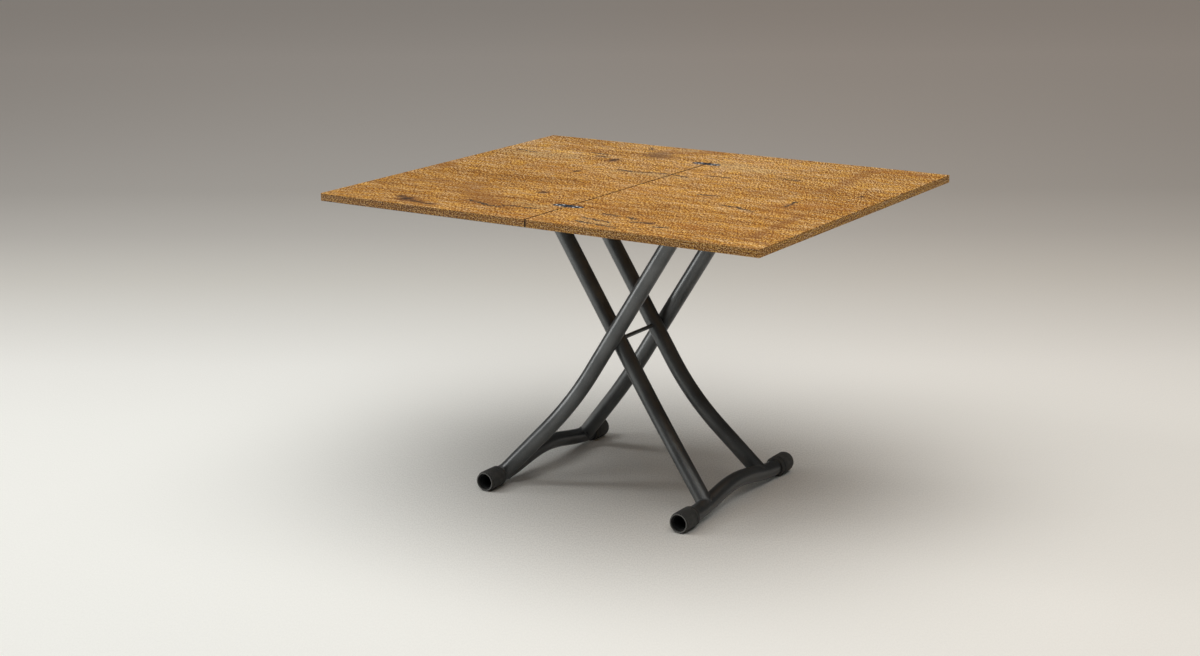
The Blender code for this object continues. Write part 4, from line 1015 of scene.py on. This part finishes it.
GRAPHITE = graphite_finish()
SCREWS = screw_rule()
head = screw_head()
for half, body, sign in (("fixed", "fixed_top", -1), ("folding", "folding_top", 1)):
    all_spots = []
    for side_name, side in SIDES.items():
        node = "hinge_plate_" + half + "_" + side_name
        spots = [(sign * x, side * HINGE_Y + y, TOP_Z) for x, y in SCREW_SPOTS]
        plate = plain_copy(node, node + "_finished")
        plate.data.materials.append(GRAPHITE)
        countersink(plate, spots)
        fit(plate, body, "graphite_hinge", node)
        all_spots += [(x, y, z - SCREW_DROP) for x, y, z in spots]
    made = screws("hinge_screws_" + half, head, all_spots, (0, 0, 1), ZINC)
    fit(made, body, "zinc_plated_steel")
bpy.data.objects.remove(head)
for side_name in SIDES:
    dress("hinge_link_" + side_name, GRAPHITE, "hinge_links", "graphite_hinge", FINE_EASE)

# Studio: a pale seamless floor that falls away into grey, a large soft box overhead and two at the left.
# The camera stands where the photograph was taken from, a little above the table.
CAMERA_PLACE = (2.4989, -4.0863, 1.6632)
CAMERA_TURN = math.radians(32.6749)
CAMERA_DOWN = math.radians(14.823)
CAMERA_ROLL = math.radians(-0.2659)
CAMERA_LENS = 59.6455
CAMERA_SENSOR = 36.0
FLOOR_REACH = 60.0
FLOOR_START = -4.0
FLOOR_SPAN = 20.0
FLOOR_CAST = (-1.2, 1.6)
FLOOR_TINTS = ((0.985, 0.995, 1.0, 1.0), (1.0, 0.97, 0.945, 1.0))
FLOOR_GRAIN = 320.0
FLOOR_GRAIN_FLATTENING = 0.35
FLOOR_GRAIN_REACH = (0.3, 1.0)
# The grain runs deeper near the table, which also darkens the floor there as painted shade.
FLOOR_GRAIN_AND_SHADE_DEPTH = (0.14, 0.03)
# The floor's colour at so many metres behind the table's middle.
FLOOR_STOPS = [
    (-4.0, (0.885, 0.88, 0.85)), (0.5, (0.905, 0.90, 0.87)), (1.05, (0.885, 0.875, 0.847)),
    (1.55, (0.81, 0.795, 0.762)), (2.2, (0.724, 0.70, 0.657)), (3.0, (0.633, 0.605, 0.571)),
    (3.9, (0.60, 0.567, 0.533)), (5.1, (0.68, 0.635, 0.596)), (6.6, (0.79, 0.73, 0.68)),
    (8.7, (0.93, 0.85, 0.79)), (16.0, (0.995, 0.905, 0.835)),
]

camera = new_object("camera", bpy.data.cameras.new("camera"))
camera.data.sensor_width = CAMERA_SENSOR
camera.data.lens = CAMERA_LENS
camera.matrix_world = (
    Matrix.Translation(CAMERA_PLACE)
    @ Matrix.Rotation(CAMERA_TURN, 4, "Z")
    @ Matrix.Rotation(math.pi / 2 - CAMERA_DOWN, 4, "X")
    @ Matrix.Rotation(CAMERA_ROLL, 4, "Z")
)
bpy.context.scene.camera = camera


def floor_finish():
    finish = Finish("studio_floor", {"Specular IOR Level": 0.0, "Roughness": 0.9})
    place = finish.place()
    away = (-math.sin(CAMERA_TURN), math.cos(CAMERA_TURN), 0.0)
    depth = finish.measure("DOT_PRODUCT", place, away)
    share = (depth - FLOOR_START) * (1 / FLOOR_SPAN)
    stops = [((metres - FLOOR_START) / FLOOR_SPAN, (*colour, 1.0)) for metres, colour in FLOOR_STOPS]
    across = (math.cos(CAMERA_TURN), math.sin(CAMERA_TURN), 0.0)
    side = finish.measure("DOT_PRODUCT", place, across)
    flat = finish.add("ShaderNodeCombineXYZ", None, {"X": side, "Y": FLOOR_GRAIN_FLATTENING * depth})
    grain = finish.noise(flat, FLOOR_GRAIN, detail=1.0)
    out = finish.measure("LENGTH", place)
    # Grain, and painted shade near the table, where the grain runs deeper.
    grain_and_shade_depth = finish.step(out, *FLOOR_GRAIN_REACH, *FLOOR_GRAIN_AND_SHADE_DEPTH)
    shade = 1.0 - grain_and_shade_depth * finish.step(grain, 0.3, 0.7)
    cast = finish.blend(finish.step(side, *FLOOR_CAST), *FLOOR_TINTS)
    colour = finish.stretch(finish.stretch(finish.ramp(share, stops), shade), cast)
    finish.feed(finish.shader, {"Base Color": colour})
    return finish.material


def soft_box(name, place, target, size, power, colour):
    lamp = bpy.data.lights.new(name, "AREA")
    lamp.shape = "RECTANGLE"
    lamp.size, lamp.size_y = size
    lamp.energy = power
    lamp.color = colour
    made = new_object(name, lamp)
    made.location = place
    made.rotation_euler = (Vector(target) - Vector(place)).to_track_quat("-Z", "Y").to_euler()


floor_mesh = bpy.data.meshes.new("studio_floor")
corners = [(-1, -1), (1, -1), (1, 1), (-1, 1)]
floor_mesh.from_pydata([(x * FLOOR_REACH, y * FLOOR_REACH, 0.0) for x, y in corners], [], [(0, 1, 2, 3)])
floor_mesh.materials.append(floor_finish())
new_object("studio_floor", floor_mesh)
soft_box("overhead_box", place=(0.4, -0.75, 5.0), target=(0.3, -0.45, 0.0),
         size=(6.4, 6.4), power=234.0, colour=(1.0, 0.985, 0.955))
soft_box("left_box", place=(-4.4, -2.9, 4.7), target=(0.0, 0.0, 0.3),
         size=(1.5, 2.2), power=66.0, colour=(1.0, 0.995, 0.975))
soft_box("low_box", place=(-5.2, -3.0, 0.95), target=(0.0, 0.0, 0.42),
         size=(1.2, 1.4), power=76.0, colour=(1.0, 0.99, 0.97))


class Surround(Nodes):
    """The studio's own light: dim all round, and brighter from overhead."""

    def __init__(self, low, high, level, overhead, colour):
        world = bpy.data.worlds.new("studio")
        world.use_nodes = True
        bpy.context.scene.world = world
        self.tree = world.node_tree
        up = self.part(self.add("ShaderNodeTexCoord", out="Generated"), "Z")
        strength = self.step(up, low, high, level, overhead)
        self.feed(self.tree.nodes["Background"], {"Color": colour, "Strength": strength})


Surround(low=0.70, high=0.88, level=0.045, overhead=0.50, colour=(1.0, 0.985, 0.95, 1.0))
bpy.context.scene.view_settings.view_transform = "Standard"
